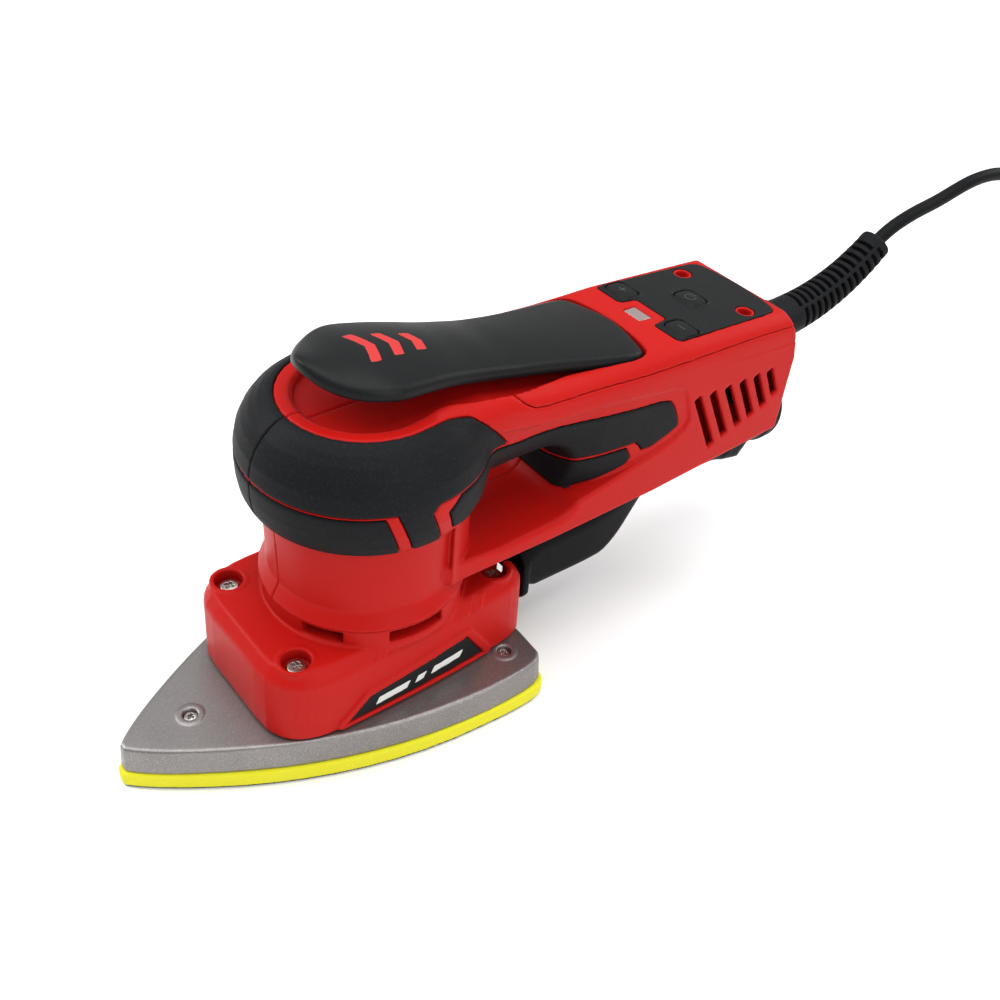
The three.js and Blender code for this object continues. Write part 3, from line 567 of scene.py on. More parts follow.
# %% [markdown]
# ## The housing
# A turned column carries a bulging head; a long rear body grows out of it, hollowed behind
# a sloping ridge and opened right through for the fingers. Thin rubber skins lie in
# recesses over it, and a top cover closes the rear.
# %% Shape of the housing
COLUMN = [(0, 56.2), (36.9, 56.2), (37.3, 56.7), (37.2, 57.2), (34.7, 61.8), (34.3, 63.2), (34.6, 80),
          (35, 93), (35, 100), (0, 100)]
HEAD = [(0, 93.2), (38.9, 93.2), (40.1, 94.0), (41.5, 97.5), (42.2, 102), (42.4, 107), (42.2, 112),
        (41.2, 117), (39.2, 121.4), (36.6, 125), (33.5, 127.8), (31, 129.3), (29, 130), (24.8, 130),
        (23.8, 129.6), (23.3, 128.8), (0, 128.8)]
TOP_Y = [10, 28, 36, 42, 48, 60, 75, 90, 105, 121, 150, 179, 190]
TOP_Z = [129.5, 129.6, 129.8, 129.2, 127.6, 125.2, 123.2, 122.2, 121.8, 121.6, 119.6, 117.6, 116.8]
SHOULDER_DROP = [-30, -14, -9, -6, -4, -2.4, -1.1, -0.3, 4]
SHOULDER_HALF = [31.0, 30.6, 30.3, 29.8, 29.0, 27.8, 26.2, 24.6, 22.0]
PROFILE = [(8, 62.3), (60, 61.8), (110, 62.6), (150, 64.8), (180, 66.6), (181.6, 75), (182.4, 82.3),
           (184.6, 98.3), (183.2, 108.6), (180.8, 115.2), (179.6, 118.5), (178, 140), (8, 140)]
RIDGE = [(10, 70.3), (37, 69.4), (54, 71), (71, 73.8), (89, 76.6), (108, 80.6), (119, 83.4), (124, 86.4),
         (126, 89.5), (125.2, 93.5), (122.6, 101.5), (121, 104), (117, 105.6), (100, 108.2), (80, 111),
         (62, 112.6), (50, 114), (30, 118), (10, 118)]
POCKET_Y = [38, 50, 62, 72, 82, 95, 108, 124]
POCKET_Z = [68, 74, 80, 86, 92, 98, 104, 110, 116]
POCKET_HALF = [[12, 13, 14, 15, 18, 23, 26.5, 28, 28.5], [12, 13, 14, 15, 18, 23, 26, 27.6, 28.6],
               [14, 16, 17, 18, 19.5, 23.5, 26.2, 27.8, 28.9],
               [20, 22.5, 24, 25, 25.8, 27, 28, 28.8, 29.4],
               [25.5, 27, 28, 28.6, 29, 29.4, 29.6, 29.8, 30],
               [29.5, 30, 30.2, 30.3, 30.3, 30.3, 30.3, 30.3, 30.3],
               [30.8, 31, 31, 30.9, 30.7, 30.6, 30.5, 30.4, 30.4],
               [31.2, 31.2, 31.1, 31, 30.8, 30.7, 30.6, 30.5, 30.4]]
OPENING = [(20, 69.2), (62, 68.6), (68, 70.0), (71, 74), (72.6, 80), (73, 86), (71.5, 91.5), (67, 95),
           (60, 96.2), (50, 95.4), (42, 93.6), (30, 93), (20, 92)]
BASIN = [(0, -23.4), (9, -21.6), (16.6, -16.6), (21.6, -9.2), (23.4, -1), (23.0, 6), (22.3, 12),
         (22.3, 18), (23.6, 25), (25, 32), (25.8, 40), (25.4, 47), (23.6, 57), (21.4, 68), (21.6, 76),
         (22.8, 86), (25.1, 105.6), (14.5, 109.2), (0, 110.6)]
FLOOR_Y = [-30, 20, 34, 46, 60, 84, 94, 96, 107.5, 109, 111]
FLOOR_Z = [126.4, 126.4, 125.2, 122, 119.8, 117.4, 114.6, 112, 112, 113, 114.6]


def housing_shape(x, y, z):
    """The outside of the whole moulded body, for x from 0 up."""
    r = np.hypot(x, y + 0.4)
    column = turned(r, z, COLUMN)
    head = turned(r, z, HEAD)
    back_wall = common(np.hypot(x, y) - 37.0, 14.0 - y, 62.3 - z, z - 94)
    above = z - flowing(y, TOP_Y, TOP_Z)
    draft = x - 30.2 - np.maximum(113 - z, 0) * 0.068
    shoulder = x - flowing(above, SHOULDER_DROP, SHOULDER_HALF, 1.5)
    side = np.where(above > -12, np.maximum(draft - 0.6, shoulder), draft)
    rear = smooth_max(smooth_max(polygon(y, z, PROFILE), side, 1.2), above, 1.0)
    pocket = flowing_sheet(y, z, POCKET_Y, POCKET_Z, POCKET_HALF)
    rear = smooth_max(rear, -common(polygon(y, z, RIDGE), (pocket - x) * 0.85), 1.4)
    rear = smooth_max(smooth_max(rear, -polygon(y, z, rounded(OPENING)), 3.0), 12 - y, 2)
    whole = smooth_min(smooth_min(column, back_wall, 0.6), smooth_min(head, rear, 3.5), 1.2)
    basin = smooth_max(polygon(x, y, rounded(both_sides(BASIN))), flowing(y, FLOOR_Y, FLOOR_Z, 1.5) - z, 1.6)
    return smooth_max(whole, -basin, 0.8)


STEP = 0.5
hall = Lattice((0, -46, 54), (46, 190, 134), STEP)
X, Y, Z = hall.X, hall.Y, hall.Z
BODY = housing_shape(X, Y, Z)
print("housing field", BODY.shape, "at", STEP, "mm")

# %% Where one material stops and the next begins
RIM_PLAN = both_sides([(0, -29.7), (11, -27.5), (20, -21.9), (26.3, -13.6), (29.2, -3.5), (28.9, 5),
                      (27.6, 12), (27, 20), (27, 70), (0, 70)])
HEAD_SIDE = [(-60, 110.5), (-60, 140), (12, 140), (14, 131), (17.1, 128.8), (22.6, 127), (27.6, 123),
             (33, 117.5), (38.9, 110.5)]
BAND_FRONT = [(-60, 90), (-60, 109.3), (-17.0, 109.3), (-11.4, 93.5), (-10.2, 90)]
GRIP_FOOT = [(-13.6, 112.5), (-12.7, 109.3), (-6.8, 93.5), (-5.6, 90), (4.9, 90), (3.6, 93.5),
             (-1.6, 107.5), (3, 112.5)]
NECK_SIDE = [(3.9, 109.3), (30, 109.3), (38.5, 109), (44.6, 107.9), (50.9, 108.2), (62.8, 107.4),
             (78.4, 106.3), (95.6, 104.2), (114.0, 102.4), (117.6, 98), (120.8, 90.5), (120.7, 88.0),
             (103.9, 82.6), (100.2, 88.6), (95, 88.4), (74, 83.5), (66, 81), (58, 82), (51, 92.2),
             (9.6, 92.2)]
LUMP_SIDE = [(55, 71.8), (66, 71.8), (70.6, 73.2), (78.2, 75.4), (88, 77.6), (98.6, 80.8), (95.2, 87.2),
             (93, 93), (55, 93)]
STRIPE_X = [0, 8, 12, 16.5, 20, 24, 28]
STRIPE_Z = [81.6, 82.2, 82.9, 84.4, 85.6, 87.4, 88.1]
PARTING = [(30, 140), (36.5, 133.2), (38.6, 130.6), (41.8, 127.1), (45.3, 123.9), (48.7, 121.9),
           (53.5, 120.9), (64, 119.9), (75.4, 118.9), (102.5, 116.6), (132, 115.4), (160, 114.2),
           (181, 112.6), (196, 112), (196, 150), (30, 150)]
PANEL_PLAN = both_sides([(0, 129.5), (7.6, 129.5), (8.7, 128.3), (9.6, 122.7), (10.8, 121.5),
                        (22.2, 121.6), (23.5, 123), (23.2, 150), (22.9, 168), (22.6, 173.4),
                        (21.2, 175.9), (18.5, 177.1), (12, 178.3), (0, 179)])
BUTTON_PLACES = [("plus", -16.6, 129.2), ("minus", 16.6, 129.2), ("power", 0.0, 150.6)]
COVER_HOLES = [(-17.4, 163.6), (17.4, 163.6)]
BUTTON_HALF, BUTTON_CORNER, WELL_GAP = (5.8, 4.7), 2.6, 0.5
SCREW_SEAT, HOLE_LOW = 112.9, 112.5

radius = np.hypot(X, Y + 0.4)
above_stripe = Z - flowing(X, STRIPE_X, STRIPE_Z, 2)
head_region = smooth_max(-polygon(X, Y, rounded(RIM_PLAN, 1)), polygon(Y, Z, HEAD_SIDE), 0.8)
front_region = common(polygon(Y, Z, BAND_FRONT), 36.6 - radius)
head_region = smooth_min(head_region, common(polygon(Y, Z, GRIP_FOOT), 36.6 - radius), 0.5)
neck_region = smooth_max(polygon(Y, Z, rounded(NECK_SIDE, 1)), np.where(Y < 100, 0.75 - above_stripe, -9),
                         0.6)
neck_region = common(neck_region, np.where(Y < 16, 36.6 - radius, -9))
lump_region = smooth_max(polygon(Y, Z, rounded(LUMP_SIDE, 1)), above_stripe + 0.75, 0.6)
lump_region = smooth_max(lump_region, X - flowing(Y, [55, 66, 72, 80, 90], [17, 20.5, 25, 31, 42]), 2.0)
cover_region = polygon(Y, Z, PARTING)
panel_region = polygon(X, Y, PANEL_PLAN)
print("regions laid out")

# %% Housing halves, hollow, with air slots and a cord hole
SKIN_DEEP, SKIN_PROUD, WALL = 1.7, 0.35, 2.5
rubber = join(head_region, front_region, neck_region, lump_region)


def vent_slots(x, y, z):
    """Six sloping air slots in the side of the rear body."""
    slots = np.full(np.broadcast(x, y, z).shape, 9.0, np.float32)
    tops = [(129.4, 98.0), (137.6, 97.7), (146.0, 97.4), (154.2, 97.3), (162.2, 97.2), (169.9, 97.1)]
    feet = [(141.0, 72.5), (148.2, 74.9), (155.8, 76.8), (162.8, 78.6), (169.6, 80.8), (175.4, 84.4)]
    for (ty, tz), (fy, fz) in zip(tops, feet):
        length = math.hypot(fy - ty, fz - tz)
        dy, dz = (fy - ty) / length, (fz - tz) / length
        along = np.abs((y - ty) * dy + (z - tz) * dz - length / 2) - length / 2
        across = np.abs((y - ty) * dz - (z - tz) * dy) - 1.75
        slots = np.minimum(slots, np.maximum(smooth_max(along, across, 0.5), 24 - x))
    return slots


recess = common(rubber - 0.22, -(BODY + SKIN_DEEP))
shell = smooth_max(BODY, -recess, 0.35)
shell = smooth_max(shell, -(cover_region - 0.12), 0.35)
shell = common(shell, -(BODY + WALL + np.where(rubber < 1, 1.6, 0.0)))
shell = smooth_max(shell, -vent_slots(X, Y, Z), 0.6)
shell = common(shell, 0.05 - X)
cord_hole = np.where(Y > 170, np.hypot(X, Z - 92) - 11.4, 9.0)
half_right = surface("housing_right_looks", common(shell, -cord_hole), hall, red_plastic)
half_left = flipped(half_right, "housing_left_looks")
belongs(half_right, "housing", "red_plastic", "housing_right")
belongs(half_left, "housing", "red_plastic", "housing_left")
print("housing halves", len(half_right.data.polygons), "faces each")

# %% Rubber skins
def skin(region, deep=SKIN_DEEP - 0.15, proud=SKIN_PROUD):
    return common(smooth_max(smooth_max(BODY - proud, region, 0.7), -(BODY + deep), 0.3), 0.08 - X)


for name, fields, nodes in (("head_grip", [head_region], ["head_grip"]),
                            ("lower_band", [front_region], ["lower_band"]),
                            ("neck_and_palm_grip", [neck_region, lump_region], ["neck_band", "palm_grip"])):
    right_skin = surface(name + "_right_looks", join(*(skin(f) for f in fields)), hall, grip_rubber)
    left_skin = flipped(right_skin, name + "_left_looks")
    belongs(right_skin, "housing", "grip_rubber", *(n + "_right" for n in nodes))
    belongs(left_skin, "housing", "grip_rubber", *(n + "_left" for n in nodes))
    print(name, len(right_skin.data.polygons), "faces")

# %% Top cover with its keypad deck
TILT = math.atan2(4.0, 58.0)


def deck(y):
    """Height of the sloping keypad deck."""
    return 121.6 - (y - 121) * math.tan(TILT)


cover = smooth_max(BODY, cover_region + 0.12, 0.35)
cover = common(cover, -(BODY + WALL))
cover = smooth_max(cover, -common(panel_region - 0.15, deck(Y) - 1.5 - Z), 0.3)
for hx, hy in COVER_HOLES:
    hole = np.hypot(X - abs(hx), Y - hy)
    cover = join(cover, common(hole - 3.85, Z - deck(Y) - 0.1, SCREW_SEAT - Z))
    cover = smooth_max(cover, -common(hole - 2.75, HOLE_LOW - Z), 0.4)
for _, hx, hy in BUTTON_PLACES[1:]:
    well = block(X, Y, 0 * Z, (hx, hy, 0), (BUTTON_HALF[0] + WELL_GAP, BUTTON_HALF[1] + WELL_GAP, 9), 2.9)
    cover = smooth_max(cover, -common(well, HOLE_LOW - Z), 0.3)
lamp_hole = common(np.abs(X) - 4.9, np.abs(Y - 122.0) - 3.2, 113 - Z)
cover = smooth_max(cover, -lamp_hole, 0.3)
cover_piece = surface("top_cover_looks", cover, hall, red_plastic, mirrored=True)
belongs(cover_piece, "housing", "red_plastic", "top_cover")
print("cover", len(cover_piece.data.polygons), "faces")
del BODY, shell, cover, rubber, recess, head_region, front_region, neck_region, lump_region

# %% [markdown]
# ## Keypad, buttons and lamp window
# The matt black panel lies just proud of its recess. Each button is a soft square pad
# inside a raised outline, with a plain plus, minus or power mark.
# %% Panel and buttons
FINE = 0.25
keys = Lattice((-24.5, 115.5, 111.5), (24.5, 180, 124), FINE)
kx, ky, kz = keys.X, keys.Y, keys.Z
up_from_deck = (kz - deck(ky)) * math.cos(TILT)
panel_outline = polygon(kx, ky, PANEL_PLAN)
panel = smooth_max(smooth_max(panel_outline, up_from_deck - 0.35, 0.7), -up_from_deck - 1.35, 0.2)
for hx, hy in COVER_HOLES:
    panel = smooth_max(panel, -(np.hypot(kx - hx, ky - hy) - 4.0), 0.4)
for name, bx, by in BUTTON_PLACES:
    pad = block(kx, ky, 0 * kz, (bx, by, 0), (*BUTTON_HALF, 9), BUTTON_CORNER)
    panel = smooth_max(panel, -(pad - 0.35), 0.3)
    outline = common(pad - 1.35, -(pad - 0.75), up_from_deck - 0.7, -up_from_deck - 0.5, panel_outline + 0.3)
    panel = smooth_min(panel, outline, 0.4)
    crown = up_from_deck - 0.75 + 0.02 * ((kx - bx) ** 2 + (ky - by) ** 2) * 0.5
    button = smooth_max(smooth_max(pad, crown, 0.8), -up_from_deck - 1.2, 0.2)
    if name == "power":
        ring = common(np.abs(np.hypot(kx - bx, ky - by) - 2.2) - 0.28,
                      -common(np.abs(kx - bx) - 0.7, by - ky))
        mark = join(ring, common(np.abs(kx - bx) - 0.28, np.abs(ky - by - 2.1) - 1.2))
    else:
        mark = common(np.abs(kx - bx) - 2.1, np.abs(ky - by) - 0.3)
        if name == "plus":
            mark = join(mark, common(np.abs(kx - bx) - 0.3, np.abs(ky - by) - 2.1))
    key = surface("button_" + name + "_looks", button, keys, panel_plastic, relax=1)
    belongs(key, "button_" + name, "black_plastic", "button_" + name)
    raised = common(button - 0.12, -(button + 0.4), mark, -up_from_deck)
    mark_piece = surface("mark_" + name, raised, keys, mark_grey, relax=1)
    belongs(mark_piece, "button_" + name, "black_plastic")
panel_piece = surface("keypad_panel_looks", panel, keys, panel_plastic, relax=2)
belongs(panel_piece, "housing", "black_plastic", "keypad_panel")
window = smooth_max(block(kx, ky, kz, (0, 122.0, 117.4), (4.7, 3.0, 4.0), 0.6), up_from_deck + 0.25, 0.5)
window_piece = surface("lamp_window_looks", window, keys, lamp_window, relax=1)
belongs(window_piece, "housing", "clear_lens", "led_window")
print("panel", len(panel_piece.data.polygons), "faces")

# %% [markdown]
# ## The lever
# A long satin paddle: crowned and raised at the nose, waisted, then flaring into the deck.
# %% Lever
LEVER_HALF = [(0, -24.6), (6, -23.2), (11.6, -19.8), (16.8, -14.6), (20.6, -9), (22.7, -3.6), (23.1, 1),
              (22.4, 6), (21.1, 14.4), (19.8, 23), (19, 32), (18.6, 42), (18.6, 52), (19.3, 66.6),
              (21.7, 83.3), (24.4, 105.4), (14, 108.6), (0, 110)]
LEVER_PLAN = both_sides(LEVER_HALF)
PIVOT_Y, PIVOT_Z, PIVOT_BORE = 101, 115.2, 1.55
EDGE_Y = [-28, -24, -20.3, -16.7, -12.8, -3.6, 5.8, 14.4, 23, 32, 40.5, 49.4, 66.6, 83.3, 105.6, 112]
EDGE_Z = [148.4, 147.6, 146.0, 144.6, 143.8, 143.2, 141.75, 140.25, 138.25, 135.75, 133.75, 131.5, 128.25,
          125.25, 121.5, 120.6]
CROWN = [0.6, 1.6, 2.6, 3.2, 3.4, 3.4, 3.3, 3.0, 2.8, 2.6, 2.4, 2.2, 2.0, 1.8, 1.6, 1.6]
bay = Lattice((0, -27, 108), (26, 113, 152), 0.4)
lx, ly, lz = bay.X, bay.Y, bay.Z
plan = polygon(lx, ly, rounded(LEVER_PLAN))
half_lever = flowing(ly, [y for _, y in LEVER_HALF], [max(x, 5) for x, _ in LEVER_HALF], 6)
share = np.clip(lx / np.maximum(half_lever, 4), 0, 1.2)
lever_top = flowing(ly, EDGE_Y, EDGE_Z, 5) + flowing(ly, EDGE_Y, CROWN, 5) * (1 - share ** 2)
lever = smooth_max(smooth_max(plan, (lz - lever_top) * 0.97, 2.6), (lever_top - 4.6 - lz) * 0.97, 1.6)
pin_bore = np.hypot(ly - PIVOT_Y, lz - PIVOT_Z) - PIVOT_BORE
arm = common(block(lx, ly, lz, (12.5, PIVOT_Y, 117.6), (2.2, 3.2, 3.2), 0.8), -pin_bore)
lever = smooth_min(lever, arm, 0.8)
lever_piece = surface("lever_looks", lever, bay, lever_plastic, mirrored=True)
belongs(lever_piece, "lever", "lever_plastic", "lever")
print("lever", len(lever_piece.data.polygons), "faces")

# %% [markdown]
# A plain mark of three slanting bars is inlaid in the lever, where a maker would put a badge.
# %% Lever mark
mark_field = np.full(plan.shape, 9.0, np.float32)
for k in range(3):
    slant = ly - (2.0 + 9.0 * k) + 0.35 * lx
    mark_field = np.minimum(mark_field, smooth_max(np.abs(slant) - 2.1, np.abs(lx) - (9.0 - 1.6 * k), 0.8))
inlay = common(mark_field, lz - lever_top - 0.12, lever_top - 1.0 - lz)
inlay_piece = surface("lever_mark", inlay, bay, mark_red, mirrored=True, relax=2)
belongs(inlay_piece, "lever", "lever_plastic")
print("lever mark", len(inlay_piece.data.polygons), "faces")

# %% [markdown]
# ## The base
# A soft-edged red tub with a wide chamfer carries the column. Four Phillips screws sit in
# sunk bores, a slanted black plate lies in a raised frame on the right side, and short
# windows round the foot of the column show the dark inside.
# %% Base shell
BASE_PLAN = [(0, -54.2), (19.8, -54.3), (26.5, -51.9), (31.0, -48.2), (34.0, -42.4), (35.6, -35.2),
             (36.0, -18), (35.9, 1), (35.2, 20), (34, 36.9), (32.6, 46), (29.5, 51.6), (22, 54), (0, 54)]
BASE_SCREWS = [(23.7, -42.1), (-23.7, -42.1), (23.7, 41.3), (-23.7, 41.3)]
LABEL_SIDE = [(-30, 21), (30.5, 21), (21.5, 34.5), (-20.5, 29.4)]
tub = Lattice((-38, -57, 18), (38, 57.5, 61), 0.5)
bx, by, bz = tub.X, tub.Y, tub.Z
base_plan = polygon(bx, by, rounded(both_sides(BASE_PLAN), 1))
ring = np.hypot(bx, by)
walls = base_plan + 0.022 * (bz - 19)
chamfer = (base_plan + (bz - 43.4) * 0.72) * 0.81
outside = smooth_max(smooth_max(walls, chamfer, 0.9), bz - 49, 1.0)
outside = smooth_max(outside, 19.05 - bz, 0.6)
cavity = common(base_plan + 3.0, bz - 44.6)
posts = join(*(common(np.hypot(bx - sx, by - sy) - 7.2, 30 - bz) for sx, sy in BASE_SCREWS))
collar = common(ring - 36.8, 31.4 - ring, bz - 55.9)
windows = np.full(ring.shape, 9.0, np.float32)
for middle, half_angle in ((-56, 12), (-2, 17), (50, 14), (130, 14), (182, 17), (236, 12)):
    a, half_width = math.radians(middle), 36 * math.sin(math.radians(half_angle))
    sideways, outward = -math.sin(a) * bx + math.cos(a) * by, math.cos(a) * bx + math.sin(a) * by
    windows = np.minimum(windows, common(np.abs(sideways) - half_width, 12 - outward))
windows = common(windows, 49.8 - bz, bz - 54.8)
collar = smooth_max(collar, -windows, 0.6)
base = smooth_min(outside, common(collar, 46 - bz), 1.2)
base = common(base, -np.maximum(cavity, -posts), 31.4 - ring)
for sx, sy in BASE_SCREWS:
    bore = np.hypot(bx - sx, by - sy)
    base = smooth_max(base, -common(bore - 5.2, 44.3 - bz), 0.6)
    lip = common(np.abs(bore - 6.1) - 0.8, bz - 49.3, 46 - bz)
    base = smooth_max(smooth_min(base, lip, 0.6), -common(bore - 1.6, 40 - bz), 0.2)
label = polygon(by, bz, LABEL_SIDE)
frame_rise = common(smooth_max(label - 3.4, base_plan - 0.9, 0.8), -(base_plan + 2.5), -bx, 19.2 - bz)
base = smooth_min(base, frame_rise, 0.4)
base = smooth_max(base, -common(label - 0.2, -(base_plan + 0.6), -bx), 0.25)
for py in (-15, -9, 22, 28):
    stroke = common(np.abs(by - py - (bz - 46) * 0.9) - 1.9, chamfer - 0.45, 44.0 - bz, bz - 48.4, 27 - bx)
    base = smooth_min(base, stroke, 0.25)
base = common(base, -common(np.abs(bx) - 22.6, np.abs(bz - 38) - 11.8, 46 - by))
base_piece = surface("base_shell_looks", base, tub, red_plastic, relax=3)
belongs(base_piece, "housing", "red_plastic", "base_shell")
inlay = smooth_max(common(label, base_plan - 0.25, -(base_plan + 0.55), -bx), label + 0.05, 0.4)
label_piece = surface("label_plate_looks", inlay, tub, panel_plastic, relax=2)
belongs(label_piece, "housing", "black_plastic", "label_plate")
print("base shell", len(base_piece.data.polygons), "faces")

# %% Plain pale dashes on the label
tag = Lattice((33.2, -30, 20), (37.6, 32, 36), 0.25)
tx, ty, tz = tag.X, tag.Y, tag.Z
tag_plan = polygon(tx, ty, rounded(both_sides(BASE_PLAN), 1))
dashes = np.full(np.broadcast(tx, ty, tz).shape, 9.0, np.float32)
for start, length in ((-17, 13), (-1, 4), (6, 13)):
    line = np.abs(tz - 26.0 - 0.06 * ty) - 1.6
    slanted = ty - (tz - 26.0) * 0.5
    dashes = np.minimum(dashes, smooth_max(line, np.abs(slanted - start - length / 2) - length / 2, 0.4))
dash_piece = surface("label_dashes", common(dashes, tag_plan - 0.32, -(tag_plan + 0.2)), tag, mark_pale,
                     relax=2)
belongs(dash_piece, "housing", "black_plastic")
print("label dashes", len(dash_piece.data.polygons), "faces")


# %% Phillips screws
def phillips(name, centre, head_r, top, low):
    """A round-headed screw with a crossed recess, its axis upright."""
    cx, cy = centre
    room = head_r + 0.5
    box = Lattice((cx - room, cy - room, low - 0.6), (cx + room, cy + room, top + 0.6), 0.11)
    r = np.hypot(box.X - cx, box.Y - cy)
    dome = smooth_max(r - head_r, box.Z - top + 0.10 * r * r / head_r, 0.35)
    dome = smooth_max(dome, low - box.Z, 0.1)
    width = 0.16 * head_r + 0.10 * np.maximum(box.Z - top + 1.0, 0)
    arms = join(*(common(np.abs(u) - width, np.abs(v) - 0.56 * head_r + 0.5 * np.maximum(top - box.Z, 0))
                  for u, v in (((box.X - cx) * c + (box.Y - cy) * s, (box.X - cx) * s - (box.Y - cy) * c)
                               for c, s in ((0.83, 0.56), (-0.56, 0.83)))))
    dome = smooth_max(dome, -common(arms, top - 1.3 - box.Z), 0.12)
    return surface(name, dome, box, bright_steel, relax=1)


for k, centre in enumerate(BASE_SCREWS):
    screw = phillips(f"base_screw_{k + 1}_looks", centre, 3.4, 46.7, 44.6)
    belongs(screw, "housing", "bright_steel", f"base_screw_{k + 1}")
for k, centre in enumerate(COVER_HOLES):
    screw = phillips(f"cover_screw_{k + 1}_looks", centre, 2.6, SCREW_SEAT + 2.3, SCREW_SEAT)
    belongs(screw, "housing", "bright_steel", f"cover_screw_{k + 1}")
print("six Phillips screws in the housing")

# %% [markdown]
# ## Sole: cast plate, yellow pad and hook layer
# All three share the pointed delta outline. The plate has softened edges and small sunk
# bores for its screws; the pad bulges a little past it.
# %% Plate, pad and hooks
PLATE_TOP = [(0, -98.5), (5.6, -93), (13.4, -82.2), (23.6, -65), (32.7, -47), (40.2, -27.4), (45.9, -5.9),
             (49.3, 18.1), (49.6, 37), (48.2, 47.2), (43, 50.8), (0, 50.8)]
PAD_PLAN = [(0, -101.4), (7.9, -92.6), (17.6, -78.6), (28.1, -61), (36.9, -42), (44.1, -21.4),
            (49.1, 1.5), (51.2, 27.6), (51.4, 42), (49.6, 49.4), (45, 51.8), (0, 51.8)]
PLATE_SCREWS = [(0, -71.8), (37, 38.9), (-37, 38.9)]
PLATE_Z = 18.3
sole = Lattice((0, -104, -1), (53, 54, 30), 0.45)
sx, sy, sz = sole.X, sole.Y, sole.Z
plate_plan = polygon(sx, sy, rounded(both_sides(PLATE_TOP), 1))
pad_plan = polygon(sx, sy, rounded(both_sides(PAD_PLAN), 1))
slab = smooth_max(plate_plan - (PLATE_Z - sz) * 0.07, sz - PLATE_Z, 1.4)
slab = smooth_max(slab, 7.25 - sz, 0.8)
hub = smooth_max(np.hypot(sx, sy) - 18, sz - 28, 0.8)
slab = smooth_min(slab, common(hub, 8 - sz), 1.5)
bearing_room = common(np.hypot(sx, sy - 1.5) - 13.2, 12 - sz)
slab = common(slab, -bearing_room)
for px, py in PLATE_SCREWS[:2]:
    bore = np.hypot(sx - px, sy - py)
    slab = smooth_min(slab, common(bore - 4.6, sz - PLATE_Z - 0.15, 10 - sz), 0.8)
    slab = smooth_max(slab, -common(bore - 2.6, 16.4 - sz), 0.4)
plate_piece = surface("base_plate_looks", slab, sole, cast_aluminium, mirrored=True)
belongs(plate_piece, "pad", "cast_aluminium", "base_plate")
foam = smooth_max(smooth_max(pad_plan + 0.15, sz - 7.1, 1.2), 0.85 - sz, 0.5)
hooks = smooth_max(pad_plan + 0.5, np.abs(sz - 0.45) - 0.4, 0.25)
for hx, hy in ((0, -45), (24, -18), (27, 14), (0, 36)):
    hole = np.hypot(sx - hx, sy - hy)
    foam = smooth_max(foam, -(hole - 3.4), 0.4)
    hooks = smooth_max(hooks, -(hole - 3.4), 0.4)
pad_piece = surface("sanding_pad_looks", foam, sole, pad_foam, mirrored=True)
belongs(pad_piece, "pad", "pad_foam", "sanding_pad")
hook_piece = surface("hook_layer_looks", hooks, sole, hook_fabric, mirrored=True, relax=2)
belongs(hook_piece, "pad", "hook_fabric", "hook_layer")
for k, centre in enumerate(PLATE_SCREWS):
    screw = phillips(f"plate_screw_{k + 1}_looks", centre, 2.5, 17.6, 15.4)
    belongs(screw, "pad", "bright_steel", f"plate_screw_{k + 1}")
print("plate", len(plate_piece.data.polygons), "pad", len(pad_piece.data.polygons), "faces")

# %% [markdown]
# ## Dust duct
# A flat black mouth leaves the back of the base, swings up and widens into a round port.
# %% Duct
DUCT_VIEW = [(54.3, 25.5), (98, 24.6), (104, 26), (111, 31), (118, 39), (125, 45.5), (134, 48.5),
             (152, 46), (176, 40), (184.8, 39), (184.8, 64.8), (150, 63.6), (130, 59), (116, 54),
             (98, 50.4), (54.3, 49.6)]
PORT_Z, PORT_R, DUCT_WALL = 56, 19, 2.4
tube = Lattice((-34, 52, 20), (34, 208, 78), 0.6)
dx, dy, dz = tube.X, tube.Y, tube.Z
half_width = flowing(dy, [54, 96, 112, 128, 150, 176, 186], [22.6, 22.4, 21, 18, 16.5, 18, 19], 8)
duct_side = polygon(dy, dz, rounded(DUCT_VIEW, 1))
run = smooth_max(duct_side, np.abs(dx) - half_width, 6.0)
port_r = np.hypot(dx, dz - PORT_Z)
port = smooth_max(port_r - PORT_R, np.maximum(174 - dy, dy - 203), 1.5)
rim = smooth_max(port_r - PORT_R - 0.9, np.maximum(196 - dy, dy - 202.8), 1.2)
duct = smooth_min(smooth_min(run, port, 4.0), rim, 0.8)
lips = smooth_max(block(dx, dy, dz, (0, 56.1, 38), (27, 1.8, 12.3), 1.2),
                  np.abs(dx) + np.abs(dz - 38) - 35, 2)
duct = smooth_min(duct, lips, 1.0)
duct = smooth_min(duct, smooth_max(block(dx, dy, dz, (0, 163, 43.6), (14, 9, 2.6), 1.0), -9 + 0 * dx, 1), 1.0)
hollow = smooth_max(duct_side + DUCT_WALL, np.abs(dx) - half_width + DUCT_WALL, 4.0)
hollow = smooth_max(hollow, 57 - dy, 1)
hollow = join(hollow, common(port_r - 16.4, 178 - dy),
              common(np.abs(dx) - 19, np.abs(dz - 37.5) - 9, dy - 62))
duct = smooth_max(duct, -hollow, 0.5)
duct_piece = surface("dust_duct_looks", duct, tube, black_plastic)
belongs(duct_piece, "housing", "black_plastic", "dust_duct")
print("duct", len(duct_piece.data.polygons), "faces")

